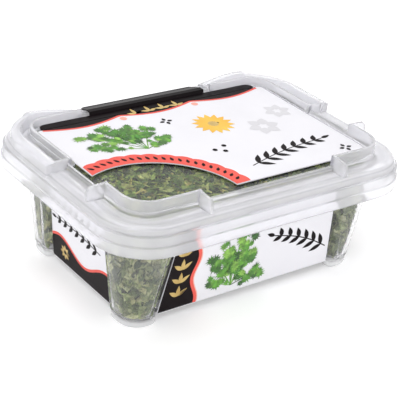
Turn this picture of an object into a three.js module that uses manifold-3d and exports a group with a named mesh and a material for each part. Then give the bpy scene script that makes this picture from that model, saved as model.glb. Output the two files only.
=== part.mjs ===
// Lidded tub of dried parsley flakes, in millimetres, +Z up.
// The origin is under the middle of the tub, on the plane its four feet stand on.
// X runs along the long side, -Y is the front.
import * as THREE from 'three';
import { mergeVertices } from 'three/addons/utils/BufferGeometryUtils.js';
import Module from 'manifold-3d';

const wasm = await Module();
wasm.setup();

// Driving dimensions

// Plan of the lid skirt: half length, half width and corner radius.
// Every other outline is this one moved inwards by an inset.
const HALF_X = 51.0;
const HALF_Y = 37.4;
const CORNER_R = 15.5;
const CORNER_STEPS = 6;

// Heights above the feet
const BASE_Z = 1.8;
const FLOOR_Z = 2.9;
const FOOT_FLOOR_Z = 2.0;
const SKIRT_Z = 28.0;
const BAND_Z = 31.2;
const SHOULDER_Z = 34.1;
const RIM_Z = 36.2;
const LEDGE_Z = 36.0;
const RIDGE_Z = 37.5;
const PANEL_Z = 36.5;
const FRONT_RIB_Z = 40.5;
const BACK_RIB_Z = 39.2;

// Lid insets and thickness
const LID_WALL = 1.1;
const BAND_STEP = 0.35;
const SHOULDER_STEP = 1.0;
const RIM_OUTER = 1.7;
const RIM_INNER = 3.5;
const LEDGE_OUTER = 4.0;
const RIDGE_OUTER = 7.5;
const RIDGE_INNER = 8.3;
const PANEL_INSET = 8.7;
const LEDGE_UNDER_Z = 35.0;
const PANEL_UNDER_Z = 35.4;
const PLUG_OUTER = 8.5;
const PLUG_INNER = 9.4;
const PLUG_Z = 33.6;

// Stacking ribs on the lid
const RIB_WALL = 1.0;
const FRONT_RIB_INSET = 7.6;
const FRONT_RIB_X = 22.8;
const FRONT_RIB_Y = 15.4;
const RETURN_INSET = 2.4;
const RIB_END_ROUND = 1.1;
const GUSSET_REACH = 0.9;
const GUSSET_DROP = 1.6;
const GUSSET_WALL = 0.7;
const BACK_RIB_INSET = 7.8;
const BACK_RIB_X = 23.4;
const BACK_RIB_Y = 3.0;
const SIDE_GUSSET_X = 41.0;
const RIB_SINK = 0.7;

// The raised grip round the outside of a back corner. Its top falls outwards.
// GRIP_TOPS lists the distance from the middle and the height of its top along the back.
const GRIP_SIDE_INSET = 0.95;
const GRIP_BACK_INSET = 2.4;
const GRIP_R = 16.8;
const GRIP_END_Y = 2.4;
const GRIP_END_R = 2.8;
const GRIP_FALL = 0.8;
const GRIP_BEVEL = 0.5;
const GRIP_WIDTH = 2.8;
const GRIP_FOOT_WIDTH = 3.4;
const GRIP_FOOT_Z = 34.6;
const GRIP_WALL = 0.9;
const GRIP_ARC_DEGREES = [0, 15, 30, 45, 55, 64.5, 68, 79, 90];
const GRIP_TOPS = [
  [23.4, 37.6], [27.5, 38.4], [31.0, 39.0], [33.4, 39.35], [36.8, 39.75], [39.6, 39.9], [40.6, 39.2],
];

// Retaining beads inside the lid skirt
const BEAD_LONG = 26.0;
const BEAD_SHORT = 18.0;
const BEAD_REACH = 0.7;

// Tub flange and wall
const TUB_WALL = 1.0;
const FLANGE_Z = 34.6;
const FLANGE_UNDER_Z = 33.5;
const FLANGE_BEVEL = 1.0;
const LIP_Z = 30.7;
const LIP_OUTER = 1.9;
const LIP_INNER = 2.8;
const MOUTH_INSET = 6.9;
const WALL_TOP_INSET = 6.95;
const WALL_FOOT_INSET = 10.45;
const WALL_TOP_R = 9.2;
const WALL_FOOT_R = 6.0;

// Recessed panel in each wall, between the corner columns
const RECESS_TOP_Z = 31.0;
const RECESS_FULL_Z = 29.0;
const RECESS_DEPTH = 2.4;
const PANEL_HALF_X_TOP = 27.6;
const PANEL_HALF_X_FOOT = 31.3;
const PANEL_HALF_Y_TOP = 14.0;
const PANEL_HALF_Y_FOOT = 15.6;
const SHOULDER_RUN = 2.8;
const PANEL_SPREAD = 0.37;
const POINT_GAP = 0.3;

// Feet under the columns
const FOOT_IN_X = 31.0;
const FOOT_IN_Y = 16.6;
const FOOT_EDGE = 0.7;
const FOOT_TOP_Z = 3.0;
const FOOT_INNER_R = 2.2;
const FOOT_WALL = 1.5;

// Printed films
const FILM = 0.3;
const FILM_GAP = 0.3;
const LABEL_MARGIN = 0.4;
const LABEL_TOP_Z = 28.6;
const LID_LABEL_X = 40.6;
const LID_LABEL_FRONT = 26.0;
const LID_LABEL_BACK = 25.0;
const LID_LABEL_R = 4.5;
const WINDOW_X = -31.3;
const WINDOW_Y = -26.3;
const WINDOW_R = 23.3;
const SEAL_FRONT = 25.3;
const SEAL_BACK = 28.2;
const SEAL_HALF_X = 38.4;
const TAB_HALF_X = 20.7;
const TAB_END_INSET = 3.0;
const TAB_R = 1.8;

// Dried flakes
const HEAP_GAP = 0.95;
const FLAKE_GAP = 0.42;
const HEAP_SHOULDER = 0.9;
const HEAP_FOOT_Z = 3.35;
const HEAP_TOP_Z = 33.0;
const HEAP_CREST = 0.8;
const FLAKE_THICK = 0.62;
const FLAKE_CEILING = 34.9;
const TOP_FLAKE_STEP = 7.4;
const TOP_FLAKE_INSET = 3.3;
const CREST_X = 34.0;
const CREST_Y = 21.0;
const COLUMN_FLAKE_STEP = 6.4;

// Materials
function plastic(color, roughness) {
  return new THREE.MeshStandardMaterial({
    color, roughness, metalness: 0, transparent: true, opacity: 0.45,
  });
}

function matte(color, roughness) {
  return new THREE.MeshStandardMaterial({ color, roughness, metalness: 0 });
}

// Mesh helpers

function solidOf(geometry) {
  const bare = geometry.index ? geometry.toNonIndexed() : geometry.clone();
  for (const name of Object.keys(bare.attributes)) {
    if (name !== 'position') bare.deleteAttribute(name);
  }
  const merged = mergeVertices(bare, 1e-4);
  return new wasm.Manifold(new wasm.Mesh({
    numProp: 3,
    vertProperties: new Float32Array(merged.attributes.position.array),
    triVerts: new Uint32Array(merged.index.array),
  }));
}

function geometryOf(solid) {
  const mesh = solid.getMesh();
  const geometry = new THREE.BufferGeometry();
  geometry.setAttribute('position', new THREE.BufferAttribute(mesh.vertProperties, 3));
  geometry.setIndex(new THREE.BufferAttribute(mesh.triVerts, 1));
  geometry.computeVertexNormals();
  return geometry;
}

// Triangles for one flat outline, as indices into it, counterclockwise seen from above.
function capTriangles(ring) {
  const flat = ring.map((p) => new THREE.Vector2(p.x, p.y));
  return THREE.ShapeUtils.triangulateShape(flat, []);
}

// A closed body through a list of rings of equal count, each counterclockwise seen from above.
// The first ring is closed by a face looking up and the last by a face looking down.
function loft(rings) {
  const count = rings[0].length;
  const points = [];
  for (const ring of rings) {
    for (const p of ring) points.push(p.x, p.y, p.z);
  }
  const index = [];
  for (const [a, b, c] of capTriangles(rings[0])) index.push(a, b, c);
  for (let level = 0; level + 1 < rings.length; level++) {
    for (let i = 0; i < count; i++) {
      const next = (i + 1) % count;
      const a = level * count + i;
      const b = level * count + next;
      const c = (level + 1) * count + i;
      const d = (level + 1) * count + next;
      index.push(a, c, b, b, c, d);
    }
  }
  const base = (rings.length - 1) * count;
  for (const [a, b, c] of capTriangles(rings[rings.length - 1])) {
    index.push(base + a, base + c, base + b);
  }
  const geometry = new THREE.BufferGeometry();
  geometry.setAttribute('position', new THREE.Float32BufferAttribute(points, 3));
  geometry.setIndex(index);
  return geometry;
}

// A body that follows a path of [x, y] points. sectionAt lists its section at a point as
// [distance across, height] pairs, and side is the direction across, +1 to the left of travel.
function sweep(path, sectionAt, side) {
  const last = path.length - 1;
  const count = sectionAt(...path[0]).length;
  const points = [];
  path.forEach(([x, y], i) => {
    const before = path[Math.max(i - 1, 0)];
    const after = path[Math.min(i + 1, last)];
    const run = new THREE.Vector2(after[0] - before[0], after[1] - before[1]).normalize();
    for (const [across, z] of sectionAt(x, y)) {
      points.push(x - run.y * across * side, y + run.x * across * side, z);
    }
  });
  const index = [];
  for (let i = 0; i < last; i++) {
    for (let k = 0; k < count; k++) {
      const a = count * i + k;
      const b = count * i + (k + 1) % count;
      index.push(a, b, a + count, b, b + count, a + count);
    }
  }
  const end = count * last;
  for (let k = 1; k + 1 < count; k++) index.push(0, k + 1, k, end, end + k, end + k + 1);
  const geometry = new THREE.BufferGeometry();
  geometry.setAttribute('position', new THREE.Float32BufferAttribute(points, 3));
  geometry.setIndex(index);
  const solid = solidOf(geometry);
  if (solid.volume() >= 0) return solid;
  geometry.setIndex(flipped(index));
  return solidOf(geometry);
}

// A plain wall along a path, whose top is at the height that topAt gives.
function wallAlong(path, bottom, topAt, thickness, side = 1) {
  const section = (x, y) => {
    const top = topAt(x, y);
    return [[0, bottom], [0, top], [thickness, top], [thickness, bottom]];
  };
  return sweep(path, section, side);
}

function flipped(index) {
  const out = [];
  for (let i = 0; i < index.length; i += 3) out.push(index[i], index[i + 2], index[i + 1]);
  return out;
}

function extruded(shape, depth, z) {
  const geometry = new THREE.ExtrudeGeometry(shape, { depth, bevelEnabled: false, curveSegments: 6 });
  return geometry.translate(0, 0, z);
}

function union(solids) {
  return solids.reduce((sum, solid) => sum.add(solid));
}

// Outlines

// Points of one rounded corner, in the quadrant given by the signs sx and sy.
function cornerArc(halfX, halfY, radius, quadrant, steps = CORNER_STEPS) {
  const centre = [
    [halfX - radius, halfY - radius], [radius - halfX, halfY - radius],
    [radius - halfX, radius - halfY], [halfX - radius, radius - halfY],
  ][quadrant];
  const points = [];
  for (let i = 0; i <= steps; i++) {
    const angle = (Math.PI / 2) * (quadrant + i / steps);
    points.push([centre[0] + radius * Math.cos(angle), centre[1] + radius * Math.sin(angle)]);
  }
  return points;
}

function roundedRing(inset, z) {
  const radius = Math.max(CORNER_R - inset, 1.2);
  const ring = [];
  for (let quadrant = 0; quadrant < 4; quadrant++) {
    for (const [x, y] of cornerArc(HALF_X - inset, HALF_Y - inset, radius, quadrant)) {
      ring.push(new THREE.Vector3(x, y, z));
    }
  }
  return ring;
}

function roundedShape(x0, x1, y0, y1, radii) {
  const [r0, r1, r2, r3] = radii;
  const shape = new THREE.Shape();
  shape.moveTo(x0 + r0, y0);
  shape.lineTo(x1 - r1, y0);
  shape.absarc(x1 - r1, y0 + r1, r1, -Math.PI / 2, 0, false);
  shape.lineTo(x1, y1 - r2);
  shape.absarc(x1 - r2, y1 - r2, r2, 0, Math.PI / 2, false);
  shape.lineTo(x0 + r3, y1);
  shape.absarc(x0 + r3, y1 - r3, r3, Math.PI / 2, Math.PI, false);
  shape.lineTo(x0, y0 + r0);
  shape.absarc(x0 + r0, y0 + r0, r0, Math.PI, 1.5 * Math.PI, false);
  return shape;
}

// The wall of the tub leans in towards its foot.
function wallAt(z) {
  const t = z / SKIRT_Z;
  return {
    inset: THREE.MathUtils.lerp(WALL_FOOT_INSET, WALL_TOP_INSET, Math.min(t, 1)),
    radius: THREE.MathUtils.lerp(WALL_FOOT_R, WALL_TOP_R, Math.min(t, 1)),
    panelX: THREE.MathUtils.lerp(PANEL_HALF_X_FOOT, PANEL_HALF_X_TOP, t),
    panelY: THREE.MathUtils.lerp(PANEL_HALF_Y_FOOT, PANEL_HALF_Y_TOP, t),
  };
}

// Outline of the tub wall at height z, moved in by extra, with its four recessed panels.
function tubRing(z, extra, recess, inset = wallAt(z).inset) {
  const wall = wallAt(z);
  const halfX = HALF_X - inset - extra;
  const halfY = HALF_Y - inset - extra;
  const radius = Math.max(wall.radius - extra, 2);
  const run = SHOULDER_RUN;
  const px = Math.min(wall.panelX + extra * PANEL_SPREAD, halfX - radius - run - POINT_GAP);
  const py = Math.min(wall.panelY + extra * PANEL_SPREAD, halfY - radius - run - POINT_GAP);
  const ring = [];
  const push = (x, y) => ring.push(new THREE.Vector3(x, y, z));
  const sides = [
    [[px + run, halfY], [px, halfY - recess], [-px, halfY - recess], [-px - run, halfY]],
    [[-halfX, py + run], [recess - halfX, py], [recess - halfX, -py], [-halfX, -py - run]],
    [[-px - run, -halfY], [-px, recess - halfY], [px, recess - halfY], [px + run, -halfY]],
    [[halfX, -py - run], [halfX - recess, -py], [halfX - recess, py], [halfX, py + run]],
  ];
  for (let quadrant = 0; quadrant < 4; quadrant++) {
    for (const [x, y] of cornerArc(halfX, halfY, radius, quadrant)) push(x, y);
    for (const [x, y] of sides[quadrant]) push(x, y);
  }
  return ring;
}

// Tub

function footRing(sx, sy, z, shrink) {
  const x1 = HALF_X - WALL_FOOT_INSET - shrink;
  const y1 = HALF_Y - WALL_FOOT_INSET - shrink;
  const x0 = FOOT_IN_X + shrink;
  const y0 = FOOT_IN_Y + shrink;
  const outer = WALL_FOOT_R - shrink;
  const inner = Math.max(FOOT_INNER_R - shrink, 0.8);
  const shape = roundedShape(x0, x1, y0, y1, [inner, inner, outer, inner]);
  const points = shape.getPoints(4).map((p) => new THREE.Vector3(sx * p.x, sy * p.y, z));
  const unique = points.filter((p, i) => p.distanceTo(points[(i + 1) % points.length]) > 1e-3);
  return sx * sy > 0 ? unique : unique.reverse();
}

function eachCorner(make) {
  return [[1, 1], [-1, 1], [-1, -1], [1, -1]].map(([sx, sy]) => make(sx, sy));
}

function foot(sx, sy) {
  const rings = [
    footRing(sx, sy, FOOT_TOP_Z, 0.1), footRing(sx, sy, FOOT_EDGE, 0), footRing(sx, sy, 0, FOOT_EDGE),
  ];
  return solidOf(loft(rings));
}

function footPocket(sx, sy) {
  const top = FLOOR_Z + 1.5;
  return solidOf(loft([
    footRing(sx, sy, top, FOOT_WALL), footRing(sx, sy, FOOT_FLOOR_Z, FOOT_WALL + 0.2),
  ]));
}

function tubBody() {
  const rings = [
    tubRing(FLOOR_Z, TUB_WALL, RECESS_DEPTH),
    tubRing(RECESS_FULL_Z, TUB_WALL, RECESS_DEPTH),
    tubRing(RECESS_TOP_Z, TUB_WALL, 0),
    tubRing(FLANGE_Z, TUB_WALL, 0, MOUTH_INSET),
    tubRing(FLANGE_Z, 0, 0, LIP_OUTER + FLANGE_BEVEL),
    tubRing(FLANGE_Z - FLANGE_BEVEL, 0, 0, LIP_OUTER),
    tubRing(LIP_Z, 0, 0, LIP_OUTER),
    tubRing(LIP_Z, 0, 0, LIP_INNER),
    tubRing(FLANGE_UNDER_Z, 0, 0, LIP_INNER),
    tubRing(FLANGE_UNDER_Z, 0, 0, MOUTH_INSET),
    tubRing(RECESS_TOP_Z, 0, 0),
    tubRing(RECESS_FULL_Z, 0, RECESS_DEPTH),
    tubRing(BASE_Z, 0, RECESS_DEPTH),
  ];
  widenCorners(rings.slice(3, 10));
  return solidOf(loft(rings));
}

// Flange rings keep the lid's larger corner radius, so that they run parallel to the skirt.
function widenCorners(rings) {
  for (const ring of rings) {
    const halfX = Math.max(...ring.map((p) => p.x));
    const halfY = Math.max(...ring.map((p) => p.y));
    const radius = Math.max(CORNER_R - (HALF_X - halfX), 2);
    const perSide = CORNER_STEPS + 5;
    for (let quadrant = 0; quadrant < 4; quadrant++) {
      cornerArc(halfX, halfY, radius, quadrant).forEach(([x, y], i) => {
        ring[quadrant * perSide + i].set(x, y, ring[0].z);
      });
    }
  }
}

function makeTub() {
  let solid = union([tubBody(), ...eachCorner(foot)]);
  for (const pocket of eachCorner(footPocket)) solid = solid.subtract(pocket);
  return geometryOf(solid);
}

// Lid

// The lid's shell, from the middle of its panel out over the rim, down the skirt and back below.
function lidShell() {
  const profile = [
    [PANEL_INSET, PANEL_Z],
    [RIDGE_INNER, RIDGE_Z - 0.15],
    [RIDGE_INNER - 0.2, RIDGE_Z],
    [RIDGE_OUTER + 0.2, RIDGE_Z],
    [RIDGE_OUTER, RIDGE_Z - 0.2],
    [RIDGE_OUTER - 0.05, LEDGE_Z],
    [LEDGE_OUTER, LEDGE_Z],
    [RIM_INNER, RIM_Z],
    [RIM_OUTER + 0.4, RIM_Z],
    [RIM_OUTER - 0.2, RIM_Z - 0.5],
    [SHOULDER_STEP, SHOULDER_Z + 0.6],
    [SHOULDER_STEP - 0.1, SHOULDER_Z + 0.1],
    [BAND_STEP, SHOULDER_Z - 0.1],
    [BAND_STEP, BAND_Z + 0.1],
    [0, BAND_Z - 0.1],
    [0, SKIRT_Z],
    [LID_WALL, SKIRT_Z],
    [LID_WALL, SHOULDER_Z - 1.0],
    [LID_WALL + 1.0, SHOULDER_Z + 0.6],
    [LID_WALL + 1.7, LEDGE_UNDER_Z],
    [PLUG_OUTER - 0.5, LEDGE_UNDER_Z],
    [PLUG_OUTER, LEDGE_UNDER_Z - 0.3],
    [PLUG_OUTER + 0.1, PLUG_Z],
    [PLUG_INNER, PLUG_Z],
    [PLUG_INNER, PANEL_UNDER_Z],
  ];
  return solidOf(loft(profile.map(([inset, z]) => roundedRing(inset, z))));
}

function ribPath(inset, x, y, sx, sy) {
  const halfX = HALF_X - inset;
  const halfY = HALF_Y - inset;
  const arc = cornerArc(halfX, halfY, CORNER_R - inset, 0);
  const first = [[halfX, y], ...arc, [x, halfY]];
  return first.map(([px, py]) => [sx * px, sy * py]);
}

// A front stacking rib: a rounded corner wall with a short fin out to the rim at each end.
function frontRib(sx) {
  const bottom = PANEL_Z - RIB_SINK;
  const flat = () => FRONT_RIB_Z;
  const side = sx > 0 ? -1 : 1;
  const corner = wallAlong(
    ribPath(FRONT_RIB_INSET, FRONT_RIB_X, FRONT_RIB_Y, sx, -1), bottom, flat, RIB_WALL, side);
  const outX = HALF_X - RETURN_INSET;
  const outY = HALF_Y - RETURN_INSET;
  const inX = HALF_X - FRONT_RIB_INSET - RIB_WALL;
  const inY = HALF_Y - FRONT_RIB_INSET - RIB_WALL;
  const rounded = (reach) => FRONT_RIB_Z - (reach > 0.9 ? RIB_END_ROUND : 0.35 * reach);
  const sideFin = wallAlong(
    finPath(inX, outX).map((x) => [sx * x, -FRONT_RIB_Y]), bottom,
    (x) => rounded((Math.abs(x) - inX) / (outX - inX)), RIB_WALL, sx);
  const frontFin = wallAlong(
    finPath(inY, outY).map((y) => [sx * FRONT_RIB_X, -y]), bottom,
    (x, y) => rounded((Math.abs(y) - inY) / (outY - inY)), RIB_WALL, sx);
  return union([corner, sideFin, frontFin, gusset(sx)]);
}

function finPath(from, to) {
  return [0, 0.45, 0.86, 1].map((t) => THREE.MathUtils.lerp(from, to, t));
}

// The small stiffener inside a front rib, where its short leg meets the rounded corner.
function gusset(sx) {
  const x = HALF_X - FRONT_RIB_INSET - RIB_WALL;
  const y = HALF_Y - CORNER_R - 0.4;
  const path = [[sx * (x + 0.3), -y], [sx * (x - GUSSET_REACH), -y]];
  const top = (px) => FRONT_RIB_Z - (Math.abs(px) > x ? 0.4 : GUSSET_DROP);
  return wallAlong(path, PANEL_Z - RIB_SINK, top, GUSSET_WALL, 1);
}

// A back corner has a wall round the panel, a raised grip round the rim, and a wall across
// between them at each end.
function backRib(sx) {
  const bottom = LEDGE_Z - RIB_SINK;
  const inner = wallAlong(
    ribPath(BACK_RIB_INSET, BACK_RIB_X, BACK_RIB_Y, sx, 1), bottom, () => BACK_RIB_Z, RIB_WALL, sx);
  const outX = HALF_X - GRIP_SIDE_INSET - GRIP_WIDTH;
  const wallX = HALF_X - BACK_RIB_INSET - RIB_WALL;
  const inY = HALF_Y - BACK_RIB_INSET - RIB_WALL;
  const outY = HALF_Y - GRIP_BACK_INSET - GRIP_WIDTH;
  const sideEnd = wallAlong(
    [SIDE_GUSSET_X, wallX, outX].map((x) => [sx * x, BACK_RIB_Y]), bottom,
    (x) => (Math.abs(x) < wallX ? PANEL_Z + 1 : BACK_RIB_Z - 0.2), RIB_WALL, sx);
  const backEnd = wallAlong(
    [[sx * BACK_RIB_X, inY], [sx * BACK_RIB_X, outY]], bottom, gripHeight, RIB_WALL, -sx);
  return union([inner, grip(sx), sideEnd, backEnd]);
}

// The grip's plan path from a point on the side, round the corner, to a point on the back.
function gripPath(sx, firstY, lastX) {
  const halfX = HALF_X - GRIP_SIDE_INSET;
  const halfY = HALF_Y - GRIP_BACK_INSET;
  const path = [[halfX, firstY]];
  for (const degrees of GRIP_ARC_DEGREES) {
    const angle = THREE.MathUtils.degToRad(degrees);
    path.push([
      halfX - GRIP_R + GRIP_R * Math.cos(angle), halfY - GRIP_R + GRIP_R * Math.sin(angle)]);
  }
  path.push([GRIP_TOPS[2][0], halfY], [GRIP_TOPS[1][0], halfY], [lastX, halfY]);
  return path.map(([x, y]) => [sx * x, y]);
}

function grip(sx) {
  const section = (x, y) => {
    const top = gripHeight(x, y);
    const onShoulder = Math.abs(x) > HALF_X - SHOULDER_STEP - 0.2;
    return [
      [0, onShoulder ? GRIP_FOOT_Z : LEDGE_Z - RIB_SINK], [0, top - GRIP_FALL],
      [GRIP_BEVEL, top - GRIP_BEVEL], [GRIP_WIDTH, top], [GRIP_FOOT_WIDTH, LEDGE_Z - RIB_SINK],
    ];
  };
  const solid = sweep(gripPath(sx, GRIP_END_Y - 1, BACK_RIB_X), section, sx);
  const endRadii = sx > 0 ? [0.1, GRIP_END_R, 0.1, 0.1] : [GRIP_END_R, 0.1, 0.1, 0.1];
  const ends = sx > 0 ? [BACK_RIB_X, HALF_X] : [-HALF_X, -BACK_RIB_X];
  const plan = roundedShape(...ends, GRIP_END_Y, HALF_Y, endRadii);
  return solid.intersect(solidOf(extruded(plan, FRONT_RIB_Z, SKIRT_Z)));
}

// The grip is hollow from below.
function gripHollow(sx) {
  const bottom = LEDGE_UNDER_Z - 0.8;
  const section = (x, y) => {
    const top = gripHeight(x, y) - GRIP_WALL;
    return [
      [GRIP_WALL, bottom], [GRIP_WALL, top - GRIP_FALL + 0.1], [GRIP_WIDTH - GRIP_WALL, top],
      [GRIP_FOOT_WIDTH - GRIP_WALL, bottom],
    ];
  };
  return sweep(gripPath(sx, GRIP_END_Y + GRIP_WALL, BACK_RIB_X + GRIP_WALL), section, sx);
}

// The height of the grip's top, the same along the side and shaped along the back.
function gripHeight(x, y) {
  const along = Math.abs(x);
  const after = GRIP_TOPS.findIndex(([station]) => station >= along - 1e-6);
  if (y < HALF_Y / 2 || after < 0) return BACK_RIB_Z;
  const [x1, z1] = GRIP_TOPS[after];
  const [x0, z0] = GRIP_TOPS[Math.max(after - 1, 0)];
  return x1 > x0 ? THREE.MathUtils.mapLinear(along, x0, x1, z0, z1) : z1;
}

function lidBead(length, turn, reachTo) {
  const z = SKIRT_Z + 0.9;
  const shape = new THREE.Shape();
  shape.moveTo(0.4, z - 0.7);
  shape.lineTo(-BEAD_REACH, z - 0.1);
  shape.lineTo(-BEAD_REACH, z + 0.2);
  shape.lineTo(0.4, z + 0.9);
  shape.closePath();
  const geometry = new THREE.ExtrudeGeometry(shape, { depth: length, bevelEnabled: false });
  geometry.translate(0, 0, -length / 2);
  geometry.rotateX(Math.PI / 2);
  geometry.translate(reachTo - LID_WALL, 0, 0);
  geometry.rotateZ(turn);
  return solidOf(geometry);
}

function lidBeads() {
  return [
    lidBead(BEAD_SHORT, 0, HALF_X), lidBead(BEAD_LONG, Math.PI / 2, HALF_Y),
    lidBead(BEAD_SHORT, Math.PI, HALF_X), lidBead(BEAD_LONG, -Math.PI / 2, HALF_Y),
  ];
}

function makeLid() {
  const ribs = [frontRib(1), frontRib(-1), backRib(1), backRib(-1)];
  const solid = union([lidShell(), ...ribs, ...lidBeads()]);
  return geometryOf(solid.subtract(gripHollow(1)).subtract(gripHollow(-1)));
}

// Printed films

// A wall label is a trapezium that lies on its recessed panel and leans with it.
function wallLabel(alongX) {
  const half = alongX ? [PANEL_HALF_X_FOOT, PANEL_HALF_X_TOP] : [PANEL_HALF_Y_FOOT, PANEL_HALF_Y_TOP];
  const low = BASE_Z + LABEL_MARGIN;
  const high = LABEL_TOP_Z;
  const at = (z) => THREE.MathUtils.lerp(half[0], half[1], z / SKIRT_Z) - LABEL_MARGIN;
  const reach = alongX ? HALF_Y : HALF_X;
  const outward = (z) => reach - wallAt(z).inset - RECESS_DEPTH + FILM_GAP;
  const points = [];
  for (const lift of [0, FILM]) {
    for (const z of [low, high]) {
      for (const s of [-1, 1]) points.push(s * at(z), -outward(z) - lift, z);
    }
  }
  const quads = [[0, 1, 3, 2], [4, 6, 7, 5], [0, 4, 5, 1], [2, 3, 7, 6], [0, 2, 6, 4], [1, 5, 7, 3]];
  const index = quads.flatMap(([a, b, c, d]) => [a, c, b, a, d, c]);
  const geometry = new THREE.BufferGeometry();
  geometry.setAttribute('position', new THREE.Float32BufferAttribute(points, 3));
  geometry.setIndex(index);
  return geometry;
}

// The lid label leaves out a round-edged corner as a window.
function makeLidLabel() {
  const radii = [LID_LABEL_R, LID_LABEL_R, 1.5, 1.5];
  const shape = roundedShape(-LID_LABEL_X, LID_LABEL_X, -LID_LABEL_FRONT, LID_LABEL_BACK, radii);
  const film = solidOf(extruded(shape, FILM, PANEL_Z + FILM_GAP));
  const window = new THREE.CylinderGeometry(WINDOW_R, WINDOW_R, 4, 72).rotateX(Math.PI / 2);
  return geometryOf(film.subtract(solidOf(window.translate(WINDOW_X, WINDOW_Y, PANEL_Z))));
}

// The seal is a band along the back of the panel with a tab over the ridge and onto the rim.
function makeSeal() {
  const z = PANEL_Z + FILM_GAP;
  const ends = roundedShape(-SEAL_HALF_X, SEAL_HALF_X, SEAL_FRONT, SEAL_BACK, [0.6, 0.6, 2.2, 2.2]);
  const tabEnd = HALF_Y - TAB_END_INSET;
  const rimZ = RIM_Z + FILM_GAP + 0.15;
  const path = [
    [SEAL_BACK - 1.2, z],
    [HALF_Y - PANEL_INSET - 0.35, z],
    [HALF_Y - RIDGE_INNER - 0.3, RIDGE_Z + FILM_GAP],
    [HALF_Y - RIDGE_OUTER + 0.3, RIDGE_Z + FILM_GAP],
    [HALF_Y - RIM_INNER, rimZ],
    [tabEnd, rimZ],
  ];
  const outline = [...path, ...offsetPath(path, FILM).reverse()];
  const section = new THREE.Shape(outline.map(([y, height]) => new THREE.Vector2(y, height)));
  const strip = new THREE.ExtrudeGeometry(section, { depth: 2 * TAB_HALF_X, bevelEnabled: false });
  strip.translate(0, 0, -TAB_HALF_X);
  strip.applyMatrix4(new THREE.Matrix4().makeBasis(
    new THREE.Vector3(0, 1, 0), new THREE.Vector3(0, 0, 1), new THREE.Vector3(1, 0, 0)));
  const plan = roundedShape(-TAB_HALF_X, TAB_HALF_X, SEAL_FRONT, tabEnd, [1, 1, TAB_R, TAB_R]);
  const tab = solidOf(strip).intersect(solidOf(extruded(plan, RIDGE_Z, SKIRT_Z)));
  return geometryOf(solidOf(extruded(ends, FILM, z)).add(tab));
}

// The path moved by a distance to the left of travel, with its corners mitred.
function offsetPath(path, distance) {
  return path.map((p, i) => {
    const before = path[Math.max(i - 1, 0)];
    const after = path[Math.min(i + 1, path.length - 1)];
    const a = new THREE.Vector2(p[0] - before[0], p[1] - before[1]).normalize();
    const b = new THREE.Vector2(after[0] - p[0], after[1] - p[1]).normalize();
    if (i === 0) a.copy(b);
    if (i === path.length - 1) b.copy(a);
    const middle = a.clone().add(b).normalize();
    const stretch = distance / Math.max(middle.dot(a), 0.5);
    return [p[0] - middle.y * stretch, p[1] + middle.x * stretch];
  });
}

// Dried flakes

function seeded(seed) {
  let state = seed;
  return () => {
    state = (state * 1664525 + 1013904223) % 4294967296;
    return state / 4294967296;
  };
}

// One torn, lobed leaf fragment: a thin prism with an uneven outline.
function flake(random, length) {
  const lobes = 6;
  const shape = new THREE.Shape();
  for (let i = 0; i < lobes; i++) {
    const angle = (2 * Math.PI * (i + 0.5 * random())) / lobes;
    const reach = (i % 2 ? 0.30 : 0.52) * length * (0.8 + 0.4 * random());
    const point = [reach * Math.cos(angle), 0.72 * reach * Math.sin(angle)];
    if (i === 0) shape.moveTo(...point);
    else shape.lineTo(...point);
  }
  shape.closePath();
  const geometry = new THREE.ExtrudeGeometry(shape, { depth: FLAKE_THICK, bevelEnabled: false });
  return geometry.translate(0, 0, -FLAKE_THICK / 2);
}

function heapCore() {
  const body = solidOf(loft([
    tubRing(HEAP_TOP_Z, TUB_WALL + HEAP_GAP + 1.2, 0, MOUTH_INSET),
    tubRing(HEAP_TOP_Z - 1.2, TUB_WALL + HEAP_GAP, 0, MOUTH_INSET),
    tubRing(RECESS_TOP_Z + HEAP_SHOULDER, TUB_WALL + HEAP_GAP, 0),
    tubRing(RECESS_FULL_Z + HEAP_SHOULDER, TUB_WALL + HEAP_GAP, RECESS_DEPTH),
    tubRing(HEAP_FOOT_Z, TUB_WALL + HEAP_GAP, RECESS_DEPTH),
  ]));
  const crest = roundedShape(-CREST_X, CREST_X, -CREST_Y, CREST_Y, [6, 6, 6, 6]);
  return body.add(solidOf(extruded(crest, HEAP_CREST + 1, HEAP_TOP_Z - 1)));
}

// Flakes lie over the whole top in a shaken grid, tilted every way.
function topFlakes(random) {
  const flakes = [];
  const reachX = HALF_X - PLUG_INNER - TOP_FLAKE_INSET;
  const reachY = HALF_Y - PLUG_INNER - TOP_FLAKE_INSET;
  const columns = Math.round((2 * reachX) / TOP_FLAKE_STEP);
  const rows = Math.round((2 * reachY) / (TOP_FLAKE_STEP * 0.82));
  for (let i = 0; i <= columns; i++) {
    for (let j = 0; j <= rows; j++) {
      const piece = flake(random, 7.0 + 2.6 * random());
      piece.rotateX((random() - 0.5) * 0.5);
      piece.rotateY((random() - 0.5) * 0.5);
      piece.rotateZ(random() * 2 * Math.PI);
      const x = -reachX + (2 * reachX * i) / columns + (random() - 0.5) * 1.6;
      const y = -reachY + (2 * reachY * j) / rows + (random() - 0.5) * 1.6;
      const onCrest = Math.abs(x) < CREST_X - 1 && Math.abs(y) < CREST_Y - 1;
      piece.translate(x, y, HEAP_TOP_Z + (onCrest ? HEAP_CREST : 0) + 0.12);
      flakes.push(piece);
    }
  }
  return flakes;
}

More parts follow.
